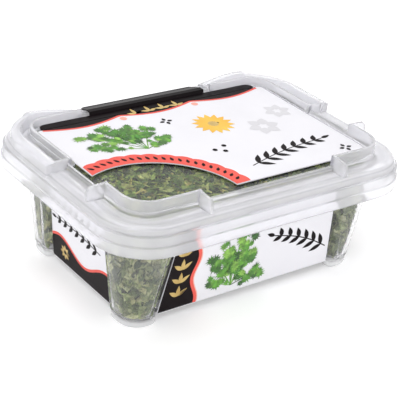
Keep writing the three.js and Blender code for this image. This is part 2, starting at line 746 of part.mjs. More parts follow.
// Flakes press flat against the clear corner columns.
function columnFlakes(random) {
  const flakes = [];
  const levels = Math.round((RECESS_FULL_Z - HEAP_FOOT_Z - 3) / COLUMN_FLAKE_STEP);
  for (let quadrant = 0; quadrant < 4; quadrant++) {
    for (let level = 0; level <= levels; level++) {
      const z = HEAP_FOOT_Z + 3 + COLUMN_FLAKE_STEP * level;
      const wall = wallAt(z);
      const extra = TUB_WALL + HEAP_GAP;
      const arc = cornerArc(
        HALF_X - wall.inset - extra, HALF_Y - wall.inset - extra, wall.radius - extra, quadrant, 2);
      const straight = 3.6;
      arc.forEach(([x, y], i) => {
        const facing = (Math.PI / 2) * (quadrant + i / 2);
        const slide = (i - 1) * straight;
        const piece = flake(random, 4.4 + 1.6 * random());
        piece.rotateZ(random() * 2 * Math.PI);
        piece.rotateY(Math.PI / 2 + (random() - 0.5) * 0.2);
        piece.rotateZ(facing);
        piece.translate(x - slide * Math.sin(facing), y + slide * Math.cos(facing), z);
        flakes.push(piece);
      });
    }
  }
  return flakes;
}

// The heap fills the tub; nothing of it comes nearer to the wall or the lid than a set gap.
function makeHeap() {
  const random = seeded(20731);
  const pieces = [...topFlakes(random), ...columnFlakes(random)].map(solidOf);
  const inTub = TUB_WALL + FLAKE_GAP;
  const inLid = PLUG_INNER - MOUTH_INSET + 2 * FLAKE_GAP;
  const limit = solidOf(loft([
    tubRing(FLAKE_CEILING, inLid, 0, MOUTH_INSET),
    tubRing(PLUG_Z - 0.4, inLid, 0, MOUTH_INSET),
    tubRing(PLUG_Z - 0.4, inTub, 0, MOUTH_INSET),
    tubRing(RECESS_TOP_Z + HEAP_SHOULDER, inTub, 0),
    tubRing(RECESS_FULL_Z + HEAP_SHOULDER, inTub, RECESS_DEPTH),
    tubRing(HEAP_FOOT_Z, inTub, RECESS_DEPTH),
  ]));
  const heap = union([heapCore(), ...pieces]).intersect(limit);
  const bodies = heap.decompose().sort((a, b) => b.volume() - a.volume());
  return geometryOf(bodies[0]);
}

// Assembly

function add(group, name, geometry, material) {
  const mesh = new THREE.Mesh(geometry, material);
  mesh.name = name;
  group.add(mesh);
  return mesh;
}

function build() {
  const object = new THREE.Group();
  const clear = plastic(0xe9e8ee, 0.22);
  const paper = matte(0xf1eff4, 0.4);
  add(object, 'tub', makeTub(), clear);
  add(object, 'lid', makeLid(), clear);
  add(object, 'parsley_flakes', makeHeap(), matte(0x4b5a2c, 0.85));
  add(object, 'lid_label', makeLidLabel(), paper);
  add(object, 'seal', makeSeal(), matte(0x141214, 0.35));
  const labels = [['front', true, 0], ['right', false, 1], ['back', true, 2], ['left', false, 3]];
  for (const [side, alongX, quarter] of labels) {
    const label = add(object, `label_${side}`, wallLabel(alongX), paper);
    label.rotation.z = (Math.PI / 2) * quarter;
  }
  return object;
}

export default build();
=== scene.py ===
"""Looks of the lidded tub of dried parsley flakes. Metres, +Z up, same frame as the CAD."""

import math
import random

import bmesh
import bpy
from mathutils import Matrix, Vector
from mathutils.geometry import tessellate_polygon


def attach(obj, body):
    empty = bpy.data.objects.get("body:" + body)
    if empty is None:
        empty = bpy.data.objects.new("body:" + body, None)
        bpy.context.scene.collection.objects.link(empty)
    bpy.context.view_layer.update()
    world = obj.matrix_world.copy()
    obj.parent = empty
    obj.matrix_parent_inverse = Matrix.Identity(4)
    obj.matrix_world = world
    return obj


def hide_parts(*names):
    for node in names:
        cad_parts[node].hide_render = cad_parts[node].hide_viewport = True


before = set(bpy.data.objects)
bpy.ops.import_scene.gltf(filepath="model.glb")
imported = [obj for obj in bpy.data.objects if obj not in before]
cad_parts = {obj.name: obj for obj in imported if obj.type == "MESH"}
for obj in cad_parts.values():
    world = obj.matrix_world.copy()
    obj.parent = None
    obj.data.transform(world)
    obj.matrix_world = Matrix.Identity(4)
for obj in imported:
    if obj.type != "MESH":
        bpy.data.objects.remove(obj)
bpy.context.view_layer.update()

MM = 0.001

# Plan and heights, in mm, as in the part's source
HALF_X, HALF_Y, CORNER_R = 51.0, 37.4, 15.5
BASE_Z, FLOOR_Z, FOOT_FLOOR_Z = 1.8, 2.9, 2.0
SKIRT_Z, BAND_Z, SHOULDER_Z = 28.0, 31.2, 34.1
RIM_Z, LEDGE_Z, RIDGE_Z, PANEL_Z = 36.2, 36.0, 37.5, 36.5
FRONT_RIB_Z, BACK_RIB_Z = 40.5, 39.2
LID_WALL, BAND_STEP, SHOULDER_STEP = 1.1, 0.35, 1.0
RIM_OUTER, RIM_INNER, LEDGE_OUTER = 1.7, 3.5, 4.0
RIDGE_OUTER, RIDGE_INNER, PANEL_INSET = 7.5, 8.3, 8.7
LEDGE_UNDER_Z, PANEL_UNDER_Z, PLUG_OUTER, PLUG_INNER, PLUG_Z = 35.0, 35.4, 8.5, 9.4, 33.6
RIB_WALL, FRONT_RIB_INSET, FRONT_RIB_X, FRONT_RIB_Y = 1.0, 7.6, 22.8, 15.4
RETURN_INSET, BACK_RIB_INSET = 2.4, 7.8
BACK_RIB_X, BACK_RIB_Y, RIB_SINK, SIDE_GUSSET_X = 23.4, 3.0, 0.7, 41.0
GRIP_SIDE_INSET, GRIP_BACK_INSET, GRIP_R, GRIP_END_Y, GRIP_END_R = 0.95, 2.4, 16.8, 2.4, 2.8
GRIP_FALL, GRIP_WIDTH, GRIP_FOOT_WIDTH, GRIP_FOOT_Z, GRIP_WALL = 0.8, 2.8, 3.4, 34.6, 0.9

# (distance from the middle, height) along the back grip's top
GRIP_TOPS = [
    (23.4, 37.6), (27.5, 38.4), (31.0, 39.0), (33.4, 39.35), (36.8, 39.75), (39.6, 39.9), (40.6, 39.2),
]

TUB_WALL, FLANGE_Z, FLANGE_UNDER_Z, LIP_Z = 1.0, 34.6, 33.5, 30.7
LIP_OUTER, LIP_INNER, MOUTH_INSET = 1.9, 2.8, 6.9
WALL_TOP_INSET, WALL_FOOT_INSET, WALL_TOP_R, WALL_FOOT_R = 6.95, 10.45, 9.2, 6.0
RECESS_TOP_Z, RECESS_FULL_Z, RECESS_DEPTH = 31.0, 29.0, 2.4
SHOULDER_RUN, PANEL_SPREAD = 2.8, 0.37
FOOT_IN_X, FOOT_IN_Y, FOOT_INNER_R = 31.0, 16.6, 2.2

# Half widths of the recessed panels in the long and short walls, each at the foot and at the top
PANEL_HALF_X, PANEL_HALF_Y = (31.3, 27.6), (15.6, 14.0)

# Named in this script only: room beside a panel, ring heights, the grip's points and the corners
PANEL_ROOM, FOOT_LEAST_R, WALL_LEVELS = 0.3, 0.8, (10, 16, 22, 27.5)
GRIP_START_Y, GRIP_BACK_POINTS = 8.0, (31.0, 29.0, 27.5, 25.5)
CORNERS = ((1, 1), (-1, 1), (-1, -1), (1, -1))

# Along and depth, as shares, of the curve that leads into a recessed wall panel
SHOULDER_CURVE = ((0.0, 0.0), (0.06, 0.01), (0.16, 0.10), (0.84, 0.90), (0.94, 0.99), (1.0, 1.0))

# Steps round a corner, the least radii, and the straight beside a corner that is kept flat
ARC_STEPS, FOOT_STEPS, PRISM_STEPS = 14, 8, 10
LEAST_CORNER_R, LEAST_WALL_R, STRAIGHT_HOLD = 1.2, 2, 0.7

# Edges bent by less than these angles, in degrees, are shaded smooth
PART_ANGLE, TUB_ANGLE, SHELL_ANGLE, LID_ANGLE, CORE_ANGLE, FLAKE_ANGLE = 32.0, 40, 60, 50, 50, 80


# Mesh helpers

def link(name, verts, faces, material):
    """A mesh object in the scene, from points in mm."""
    mesh = bpy.data.meshes.new(name)
    mesh.from_pydata([(x * MM, y * MM, z * MM) for x, y, z in verts], [], faces)
    mesh.validate()
    obj = bpy.data.objects.new(name, mesh)
    bpy.context.scene.collection.objects.link(obj)
    mesh.materials.append(material)
    return obj


def smooth_by_angle(obj, angle):
    obj.data.polygons.foreach_set("use_smooth", [True] * len(obj.data.polygons))
    bm = bmesh.new()
    bm.from_mesh(obj.data)
    limit = math.radians(angle)
    for edge in bm.edges:
        if len(edge.link_faces) == 2:
            edge.smooth = edge.calc_face_angle(0.0) < limit
        else:
            edge.smooth = False
    bm.to_mesh(obj.data)
    bm.free()


def outward(obj):
    bm = bmesh.new()
    bm.from_mesh(obj.data)
    bmesh.ops.remove_doubles(bm, verts=bm.verts, dist=1e-7)
    bmesh.ops.recalc_face_normals(bm, faces=bm.faces)
    if bm.calc_volume(signed=True) < 0:
        bmesh.ops.reverse_faces(bm, faces=bm.faces)
    bm.to_mesh(obj.data)
    bm.free()


def loft(name, rings, material, angle=PART_ANGLE):
    """A closed body through rings of equal count, closed flat at its first and last ring."""
    count = len(rings[0])
    verts = [p for ring in rings for p in ring]
    faces = [tuple(range(count))]
    for level in range(len(rings) - 1):
        for i in range(count):
            j = (i + 1) % count
            a, b = level * count + i, level * count + j
            faces.append((a, b, b + count, a + count))
    base = (len(rings) - 1) * count
    faces.append(tuple(base + i for i in reversed(range(count))))
    obj = link(name, verts, faces, material)
    outward(obj)
    smooth_by_angle(obj, angle)
    return obj


def boolean(target, others, operation):
    for other in others:
        mod = target.modifiers.new("shape", "BOOLEAN")
        mod.operation = operation
        mod.solver = "EXACT"
        mod.object = other
        with bpy.context.temp_override(object=target, active_object=target):
            bpy.ops.object.modifier_apply(modifier=mod.name)
        bpy.data.objects.remove(other)
    return target


# Outlines

def lerp(a, b, t):
    return a + (b - a) * t


def polar(x, y, radius, angle):
    return x + radius * math.cos(angle), y + radius * math.sin(angle)


def corner_arc(half_x, half_y, radius, quadrant):
    """The rounded plan corner of one quadrant, anticlockwise; quadrant 0 is at +X +Y."""
    cx, cy = [
        (half_x - radius, half_y - radius), (radius - half_x, half_y - radius),
        (radius - half_x, radius - half_y), (half_x - radius, radius - half_y),
    ][quadrant]
    angles = [math.pi / 2 * (quadrant + i / ARC_STEPS) for i in range(ARC_STEPS + 1)]
    return [polar(cx, cy, radius, a) for a in angles]


def held_arc(half_x, half_y, radius, quadrant):
    """A corner with one more point on the straight at each end, which keeps the straights flat."""
    arc = corner_arc(half_x, half_y, radius, quadrant)
    ux, uy = [(0, 1), (-1, 0), (0, -1), (1, 0)][quadrant]
    vx, vy = [(-1, 0), (0, -1), (1, 0), (0, 1)][quadrant]
    first = (arc[0][0] - ux * STRAIGHT_HOLD, arc[0][1] - uy * STRAIGHT_HOLD)
    return [first, *arc, (arc[-1][0] + vx * STRAIGHT_HOLD, arc[-1][1] + vy * STRAIGHT_HOLD)]


def rounded_ring(inset, z):
    """The lid's rounded outline, moved in by inset, at one height."""
    radius = max(CORNER_R - inset, LEAST_CORNER_R)
    return [
        (x, y, z) for quadrant in range(4)
        for x, y in held_arc(HALF_X - inset, HALF_Y - inset, radius, quadrant)
    ]


def wall_at(z):
    """Inset and corner radius of the tub's wall, then half widths of its long and short panels."""
    t = z / SKIRT_Z
    u = min(t, 1)
    return (
        lerp(WALL_FOOT_INSET, WALL_TOP_INSET, u), lerp(WALL_FOOT_R, WALL_TOP_R, u),
        lerp(*PANEL_HALF_X, t), lerp(*PANEL_HALF_Y, t),
    )


def tub_ring(z, extra, recess, inset=None, wide=False):
    """The tub's outline at one height, moved in by extra, its panels sunk by recess.

    With wide, its corners are those of the mouth.
    """
    wall_inset, wall_radius, panel_x, panel_y = wall_at(z)
    inset = wall_inset if inset is None else inset
    half_x, half_y = HALF_X - inset - extra, HALF_Y - inset - extra
    radius = CORNER_R - inset - extra if wide else max(wall_radius - extra, LEAST_WALL_R)
    run = SHOULDER_RUN
    px = min(panel_x + extra * PANEL_SPREAD, half_x - radius - run - PANEL_ROOM)
    py = min(panel_y + extra * PANEL_SPREAD, half_y - radius - run - PANEL_ROOM)

    sides = []
    for p, high in ((px, half_y), (py, half_x), (px, half_y), (py, half_x)):
        first = [(p + run * (1 - along), high - recess * depth) for along, depth in SHOULDER_CURVE]
        sides.append(first + [(-a, o) for a, o in reversed(first)])
    ring = []
    for quadrant in range(4):
        ring += [(x, y, z) for x, y in corner_arc(half_x, half_y, radius, quadrant)]
        for along, off in sides[quadrant]:
            x, y = ((along, off), (-off, along), (-along, -off), (off, -along))[quadrant]
            ring.append((x, y, z))
    return ring


# Materials

# The part of a noise's range that is mapped, and the roughness of every noise
CLOUD, NOISE_ROUGH = (0.3, 0.7), 0.55

# Plastic: painted edge shade, the tint darker towards a grazing view, as (facing, share of the tint); noise
# scales, then values of the lid's panel and of the feet
EDGE_SHADE_BLEND, EDGE_SHADE_TONES = 0.35, ((0.0, 1.0), (0.55, 0.97), (1.0, 0.72))
PLASTIC_CLOUD_SCALE, PLASTIC_GRAIN_SCALE = 70.0, 160.0
PANEL_HAZE, PANEL_CLEAR, PANEL_SHINE, OUTSIDE_SHINE = 0.3, 0.995, 0.08, 0.5
PANEL_ABOVE, PANEL_EDGE = 0.4, (-0.2 * MM, 0.4 * MM)
FOOT_CLEAR, FOOT_FADE = 0.45, (1.6 * MM, 3.0 * MM)
SHADOW_TINT = (0.94, 0.94, 0.95, 1)

# Leaf: noise scales of the spots and the creases
SPOT_SCALE, CREASE_SCALE = 800.0, 1500.0


def new_material(name):
    mat = bpy.data.materials.new(name)
    mat.use_nodes = True
    nodes, links = mat.node_tree.nodes, mat.node_tree.links
    return mat, nodes, links, nodes["Principled BSDF"]


def object_coordinates(nodes):
    return nodes.new("ShaderNodeTexCoord").outputs["Object"]


def noise(nodes, links, vector, scale, detail=3.0):
    n = nodes.new("ShaderNodeTexNoise")
    n.inputs["Scale"].default_value = scale
    n.inputs["Detail"].default_value = detail
    n.inputs["Roughness"].default_value = NOISE_ROUGH
    links.new(vector, n.inputs["Vector"])
    return n.outputs["Fac"]


def ramp(nodes, links, fac, stops):
    r = nodes.new("ShaderNodeValToRGB")
    links.new(fac, r.inputs["Fac"])
    while len(r.color_ramp.elements) < len(stops):
        r.color_ramp.elements.new(0.5)
    for element, (pos, color) in zip(r.color_ramp.elements, stops):
        element.position = pos
        element.color = (*color, 1.0) if len(color) == 3 else color
    return r.outputs["Color"]


def math_node(nodes, links, operation, a, b):
    node = nodes.new("ShaderNodeMath")
    node.operation = operation
    for socket, value in zip(node.inputs, (a, b)):
        if isinstance(value, (int, float)):
            socket.default_value = value
        else:
            links.new(value, socket)
    return node.outputs["Value"]


def map_range(nodes, links, value, source, target):
    node = nodes.new("ShaderNodeMapRange")
    node.inputs["From Min"].default_value, node.inputs["From Max"].default_value = source
    node.inputs["To Min"].default_value, node.inputs["To Max"].default_value = target
    links.new(value, node.inputs["Value"])
    return node.outputs["Result"]


def add_bump(nodes, links, shader, height, strength, distance):
    bump = nodes.new("ShaderNodeBump")
    bump.inputs["Strength"].default_value = strength
    bump.inputs["Distance"].default_value = distance
    links.new(height, bump.inputs["Height"])
    links.new(bump.outputs["Normal"], shader.inputs["Normal"])


def axes(nodes, links, coords):
    split = nodes.new("ShaderNodeSeparateXYZ")
    links.new(coords, split.inputs["Vector"])
    return split.outputs


def off_panel(nodes, links, coords):
    """0 over the flat panel of the lid and 1 outside it."""
    place = axes(nodes, links, coords)
    corner = CORNER_R - PANEL_INSET
    squares = []
    for axis, half in (("X", HALF_X), ("Y", HALF_Y)):
        out = math_node(nodes, links, "ABSOLUTE", place[axis], 0)
        out = math_node(nodes, links, "SUBTRACT", out, (half - PANEL_INSET - corner) * MM)
        out = math_node(nodes, links, "MAXIMUM", out, 0)
        squares.append(math_node(nodes, links, "MULTIPLY", out, out))
    reach = math_node(nodes, links, "SQRT", math_node(nodes, links, "ADD", *squares), 0)
    plan = math_node(nodes, links, "SUBTRACT", reach, corner * MM)
    above = math_node(nodes, links, "SUBTRACT", place["Z"], (PANEL_Z + PANEL_ABOVE) * MM)
    edge = math_node(nodes, links, "MAXIMUM", plan, above)
    return map_range(nodes, links, edge, PANEL_EDGE, (0, 1))


def multiply(nodes, links, a, b):
    mix = nodes.new("ShaderNodeMix")
    mix.data_type = "RGBA"
    mix.blend_type = "MULTIPLY"
    mix.inputs["Factor"].default_value = 1.0
    links.new(a, mix.inputs["A"])
    links.new(b, mix.inputs["B"])
    return mix.outputs["Result"]


def step_shade_lines(nodes, links, coords):
    """Painted shade: darker lines at the foot of the skirt and at the heights where the lid steps in above
    it.
    """
    low, high = SKIRT_Z - 1, RIM_Z + 1
    level = map_range(nodes, links, axes(nodes, links, coords)["Z"], (low * MM, high * MM), (0, 1))
    shade_lines = [
        (SKIRT_Z + 0.1, 0.80), (BAND_Z + 0.02, 0.72), (SHOULDER_Z + 0.02, 0.70), (RIM_Z - 0.45, 0.80),
    ]
    stops = []
    for z, tone in shade_lines:
        for dz, shade in ((-0.32, 1.0), (0.0, tone), (0.3, 1.0)):
            stops.append(((z + dz - low) / (high - low), (shade,) * 3))
    return ramp(nodes, links, level, stops)


def plastic(name, tint, clear, rough, ior, panel=False):
    """Clear, slightly milky polypropylene that lets lamps through to what lies behind it."""
    mat, nodes, links, shader = new_material(name)
    coords = object_coordinates(nodes)
    # Painted edge shade: the tint darkens as the surface turns edge-on to the view
    facing = nodes.new("ShaderNodeLayerWeight")
    facing.inputs["Blend"].default_value = EDGE_SHADE_BLEND
    edge_shade = [(at, tuple(c * share for c in tint)) for at, share in EDGE_SHADE_TONES]
    body = ramp(nodes, links, facing.outputs["Facing"], edge_shade)
    if panel:
        # Painted shade lines at the lid's steps, multiplied into the tint
        body = multiply(nodes, links, body, step_shade_lines(nodes, links, coords))
    links.new(body, shader.inputs["Base Color"])
    shader.inputs["IOR"].default_value = ior
    cloud = noise(nodes, links, coords, PLASTIC_CLOUD_SCALE, 4.0)
    haze = map_range(nodes, links, cloud, CLOUD, (rough * 0.8, rough * 1.3))
    clarity = map_range(nodes, links, cloud, CLOUD, (clear + 0.02, clear - 0.03))
    if panel:
        outside = off_panel(nodes, links, coords)
        haze_share = map_range(nodes, links, outside, (0, 1), (PANEL_HAZE, 1))
        haze = math_node(nodes, links, "MULTIPLY", haze, haze_share)
        least_clarity = map_range(nodes, links, outside, (0, 1), (PANEL_CLEAR, 0))
        clarity = math_node(nodes, links, "MAXIMUM", clarity, least_clarity)
        shine = map_range(nodes, links, outside, (0, 1), (PANEL_SHINE, OUTSIDE_SHINE))
        links.new(shine, shader.inputs["Specular IOR Level"])
    else:
        foot = map_range(nodes, links, axes(nodes, links, coords)["Z"], FOOT_FADE, (FOOT_CLEAR, 1))
        clarity = math_node(nodes, links, "MULTIPLY", clarity, foot)
    links.new(haze, shader.inputs["Roughness"])
    links.new(clarity, shader.inputs["Transmission Weight"])
    add_bump(nodes, links, shader, noise(nodes, links, coords, PLASTIC_GRAIN_SCALE), 0.015, 0.3 * MM)
    through = nodes.new("ShaderNodeBsdfTransparent")
    through.inputs["Color"].default_value = SHADOW_TINT
    path = nodes.new("ShaderNodeLightPath")
    mix = nodes.new("ShaderNodeMixShader")
    links.new(path.outputs["Is Shadow Ray"], mix.inputs["Fac"])
    links.new(shader.outputs["BSDF"], mix.inputs[1])
    links.new(through.outputs["BSDF"], mix.inputs[2])
    links.new(mix.outputs["Shader"], nodes["Material Output"].inputs["Surface"])
    return mat


def leaf_material(name, tones, rough=0.6):
    """Dry leaf; every fragment takes its own tone and has finer spots and creases."""
    mat, nodes, links, shader = new_material(name)
    coords = object_coordinates(nodes)
    island = nodes.new("ShaderNodeNewGeometry").outputs["Random Per Island"]
    steps = [i / (len(tones) - 1) for i in range(len(tones))]
    tone = ramp(nodes, links, island, list(zip(steps, tones)))
    spots = noise(nodes, links, coords, SPOT_SCALE)
    fine = ramp(nodes, links, spots, [(0.32, (0.45,) * 3), (0.7, (1.25,) * 3)])
    links.new(multiply(nodes, links, tone, fine), shader.inputs["Base Color"])
    shader.inputs["Roughness"].default_value = rough
    add_bump(nodes, links, shader, noise(nodes, links, coords, CREASE_SCALE), 0.5, 0.2 * MM)
    return mat


def ink(name, dark, light, rough=0.35, scale=60.0, shine=0.3):
    """Printed film in one colour with a faint cloud in it."""
    mat, nodes, links, shader = new_material(name)
    coords = object_coordinates(nodes)
    cloud = noise(nodes, links, coords, scale)
    links.new(ramp(nodes, links, cloud, list(zip(CLOUD, (dark, light)))), shader.inputs["Base Color"])
    links.new(map_range(nodes, links, cloud, CLOUD, (rough, rough + 0.08)), shader.inputs["Roughness"])
    shader.inputs["Specular IOR Level"].default_value = shine
    return mat


CLEAR_TUB = plastic("clear_tub", (0.985, 0.985, 0.995), 0.95, 0.03, 1.26)
CLEAR_LID = plastic("clear_lid", (0.975, 0.972, 1.0), 0.66, 0.045, 1.32, panel=True)
LEAF = leaf_material("dried_leaf", [
    (0.010, 0.022, 0.003), (0.06, 0.12, 0.010), (0.13, 0.24, 0.020), (0.03, 0.065, 0.005),
    (0.26, 0.38, 0.05), (0.50, 0.56, 0.16), (0.08, 0.15, 0.012), (0.50, 0.44, 0.12), (0.17, 0.29, 0.03),
])
SIDE_LEAF = leaf_material("pressed_leaf", [
    (0.010, 0.018, 0.006), (0.17, 0.23, 0.08), (0.04, 0.065, 0.022), (0.36, 0.43, 0.17), (0.10, 0.14, 0.045),
    (0.62, 0.64, 0.34), (0.03, 0.05, 0.016), (0.24, 0.31, 0.11), (0.46, 0.45, 0.22),
])
# Near-black tones: painted shade of the filling's depths, seen between the flakes
CORE_SHADE = leaf_material("leaf_core_painted_shade", [(0.012, 0.018, 0.006), (0.018, 0.028, 0.009), (0.024, 0.036, 0.012)])


# Tub

def make_tub():
    w, d = TUB_WALL, RECESS_DEPTH
    rings = [tub_ring(FLOOR_Z, w + 1.2, d), tub_ring(FLOOR_Z + 0.35, w + 0.35, d)]
    rings += [tub_ring(z, w, d) for z in (FLOOR_Z + 1.2, *WALL_LEVELS)]
    rings += [tub_ring(RECESS_FULL_Z, w, d * 0.94), tub_ring(RECESS_FULL_Z + 1, w, d * 0.5)]
    rings += [tub_ring(RECESS_TOP_Z, w, d * 0.05), tub_ring(RECESS_TOP_Z + 0.4, w, 0)]
    rings += [
        tub_ring(FLANGE_Z - 0.4, w, 0, MOUTH_INSET, True), tub_ring(FLANGE_Z, w - 0.4, 0, MOUTH_INSET, True),
        tub_ring(FLANGE_Z, 0, 0, LIP_OUTER + 1.1, True), tub_ring(FLANGE_Z - 0.9, 0, 0, LIP_OUTER, True),
        tub_ring(LIP_Z + 0.2, 0, 0, LIP_OUTER, True), tub_ring(LIP_Z, 0, 0, LIP_OUTER + 0.3, True),
        tub_ring(LIP_Z, 0, 0, LIP_INNER, True), tub_ring(FLANGE_UNDER_Z, 0, 0, LIP_INNER, True),
        tub_ring(FLANGE_UNDER_Z, 0, 0, MOUTH_INSET, True),
    ]
    rings += [tub_ring(RECESS_TOP_Z + 0.4, 0, 0), tub_ring(RECESS_TOP_Z, 0, d * 0.05)]
    rings += [tub_ring(RECESS_FULL_Z + 1, 0, d * 0.5), tub_ring(RECESS_FULL_Z, 0, d * 0.94)]
    rings += [tub_ring(z, 0, d) for z in (*reversed(WALL_LEVELS), BASE_Z + 1.5)]
    rings += [tub_ring(BASE_Z + 0.4, 0.35, d), tub_ring(BASE_Z, 1.2, d)]
    return loft("tub_shell", rings, CLEAR_TUB, TUB_ANGLE)


def foot_ring(sx, sy, z, shrink):
    """The outline of one foot: the wall's radius at its outer corner, small radii at the others."""
    x0, x1 = FOOT_IN_X + shrink, HALF_X - WALL_FOOT_INSET - shrink
    y0, y1 = FOOT_IN_Y + shrink, HALF_Y - WALL_FOOT_INSET - shrink
    outer, inner = WALL_FOOT_R - shrink, max(FOOT_INNER_R - shrink, FOOT_LEAST_R)
    ring = []
    corners = [(x0, y0, inner, 2), (x1, y0, inner, 3), (x1, y1, outer, 0), (x0, y1, inner, 1)]
    for x, y, r, quadrant in corners:
        cx = x + r if x == x0 else x - r
        cy = y + r if y == y0 else y - r
        for i in range(FOOT_STEPS + 1):
            px, py = polar(cx, cy, r, math.pi / 2 * (quadrant + i / FOOT_STEPS))
            ring.append((sx * px, sy * py, z))
    return ring if sx * sy > 0 else ring[::-1]


def make_feet():
    """The four feet, and the pockets that hollow them; levels are (height, shrink)."""
    foot_levels = [(3.0, 0.1), (1.0, 0.0), (0.45, 0.18), (0.15, 0.5), (0.0, 0.95)]
    pocket_levels = [(FLOOR_Z + 2.5, 1.4), (FOOT_FLOOR_Z + 0.4, 1.6), (FOOT_FLOOR_Z, 2.1)]
    feet, pockets = [], []
    for i, (sx, sy) in enumerate(CORNERS):
        feet.append(loft(f"foot_{i}", [foot_ring(sx, sy, *level) for level in foot_levels], CLEAR_TUB))
        pockets.append(loft(f"pocket_{i}", [foot_ring(sx, sy, *level) for level in pocket_levels], CLEAR_TUB))
    return feet, pockets


tub = make_tub()
feet, pockets = make_feet()
tub = boolean(boolean(tub, feet, "UNION"), pockets, "DIFFERENCE")
smooth_by_angle(tub, TUB_ANGLE)
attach(tub, "root")
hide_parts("tub")


# Lid

def make_lid_shell():
    """The lid's moulding without ribs, from (inset, height) pairs round its section."""
    profile = [
        (PANEL_INSET + 0.3, PANEL_Z), (PANEL_INSET, PANEL_Z + 0.08),
        (RIDGE_INNER + 0.05, RIDGE_Z - 0.3), (RIDGE_INNER - 0.1, RIDGE_Z - 0.06),
        (RIDGE_INNER - 0.3, RIDGE_Z),
        (RIDGE_OUTER + 0.3, RIDGE_Z), (RIDGE_OUTER + 0.08, RIDGE_Z - 0.08), (RIDGE_OUTER, RIDGE_Z - 0.3),
        (RIDGE_OUTER - 0.05, LEDGE_Z + 0.3), (RIDGE_OUTER - 0.35, LEDGE_Z),
        (LEDGE_OUTER + 0.3, LEDGE_Z), (RIM_INNER + 0.1, RIM_Z - 0.05), (RIM_INNER - 0.3, RIM_Z + 0.06),
        (RIM_OUTER + 0.7, RIM_Z + 0.06), (RIM_OUTER + 0.25, RIM_Z - 0.1), (RIM_OUTER - 0.15, RIM_Z - 0.55),
        (SHOULDER_STEP + 0.08, SHOULDER_Z + 0.9), (SHOULDER_STEP, SHOULDER_Z + 0.5),
        (SHOULDER_STEP - 0.05, SHOULDER_Z + 0.12), (SHOULDER_STEP - 0.25, SHOULDER_Z),
        (BAND_STEP + 0.12, SHOULDER_Z - 0.04), (BAND_STEP, SHOULDER_Z - 0.2),
        (BAND_STEP, BAND_Z + 0.18), (BAND_STEP - 0.08, BAND_Z + 0.05), (0.08, BAND_Z - 0.03),
        (0, BAND_Z - 0.15), (0, SKIRT_Z + 0.2), (0.2, SKIRT_Z), (LID_WALL - 0.2, SKIRT_Z),
        (LID_WALL, SKIRT_Z + 0.2), (LID_WALL, SHOULDER_Z - 1.0), (LID_WALL + 0.3, SHOULDER_Z - 0.2),
        (LID_WALL + 1.0, SHOULDER_Z + 0.6), (LID_WALL + 1.7, LEDGE_UNDER_Z),
        (PLUG_OUTER - 0.5, LEDGE_UNDER_Z), (PLUG_OUTER, LEDGE_UNDER_Z - 0.3),
        (PLUG_OUTER + 0.1, PLUG_Z + 0.15), (PLUG_OUTER + 0.3, PLUG_Z), (PLUG_INNER - 0.15, PLUG_Z),
        (PLUG_INNER, PLUG_Z + 0.15), (PLUG_INNER, PANEL_UNDER_Z - 0.2), (PLUG_INNER + 0.25, PANEL_UNDER_Z),
    ]
    return loft("lid_shell", [rounded_ring(i, z) for i, z in profile], CLEAR_LID, SHELL_ANGLE)


def sweep(name, path, section_at, side):
    """A closed body that follows a plan path; its section is (distance across, height) pairs."""
    last = len(path) - 1
    verts, faces = [], []
    n = len(section_at(*path[0]))
    for i, (x, y) in enumerate(path):
        bx, by = path[max(i - 1, 0)]
        ax, ay = path[min(i + 1, last)]
        length = math.hypot(ax - bx, ay - by)
        nx, ny = -(ay - by) / length * side, (ax - bx) / length * side
        verts += [(x + nx * across, y + ny * across, z) for across, z in section_at(x, y)]
    for i in range(last):
        for k in range(n):
            a, b = n * i + k, n * i + (k + 1) % n
            faces.append((a, b, b + n, a + n))
    faces.append(tuple(range(n)))
    faces.append(tuple(reversed(range(n * last, n * last + n))))
    obj = link(name, verts, faces, CLEAR_LID)
    outward(obj)
    return obj


def wall_along(name, path, bottom, top_at, side):
    """A rib wall with a rounded top."""
    edge = [(0, 0.25), (0.07, 0.09), (0.25, 0.0), (0.75, 0.0), (0.93, 0.09), (1, 0.25)]

    def section(x, y):
        top = top_at(x, y)
        rounded = [(across * RIB_WALL, top - down) for across, down in edge]
        return [(0, bottom), *rounded, (RIB_WALL, bottom)]

    return sweep(name, path, section, side)


def rib_path(inset, x, y, sx, sy):
    half_x, half_y = HALF_X - inset, HALF_Y - inset
    points = [(half_x, y), *held_arc(half_x, half_y, CORNER_R - inset, 0), (x, half_y)]
    return [(sx * px, sy * py) for px, py in points]


def smoothstep(x, a, b):
    t = min(max((x - a) / (b - a), 0), 1)
    return t * t * (3 - 2 * t)


def spaced(a, b, count):
    return [lerp(a, b, i / (count - 1)) for i in range(count)]


def front_rib(sx):
    """An L-shaped stacking rib and the two fins that run from its ends to the rim."""
    bottom = PANEL_Z - RIB_SINK
    fin_bottom, fin_points = bottom - 0.4, 12
    path = rib_path(FRONT_RIB_INSET, FRONT_RIB_X, FRONT_RIB_Y, sx, -1)
    corner = wall_along(f"rib_f{sx}", path, bottom, lambda x, y: FRONT_RIB_Z, -1 if sx > 0 else 1)
    out_x, out_y = HALF_X - RETURN_INSET, HALF_Y - RETURN_INSET
    in_x, in_y = HALF_X - FRONT_RIB_INSET - RIB_WALL, HALF_Y - FRONT_RIB_INSET - RIB_WALL

    def drop(reach):
        return FRONT_RIB_Z - 0.35 * reach - 0.9 * smoothstep(reach, 0.8, 1.0) ** 2

    path = [(sx * x, -FRONT_RIB_Y) for x in spaced(in_x, out_x, fin_points)]
    side_fin = wall_along(f"fin_s{sx}", path, fin_bottom,
                          lambda x, y: drop((abs(x) - in_x) / (out_x - in_x)), sx)
    path = [(sx * FRONT_RIB_X, -y) for y in spaced(in_y, out_y, fin_points)]
    front_fin = wall_along(f"fin_f{sx}", path, fin_bottom,
                           lambda x, y: drop((abs(y) - in_y) / (out_y - in_y)), sx)
    return [corner, side_fin, front_fin]


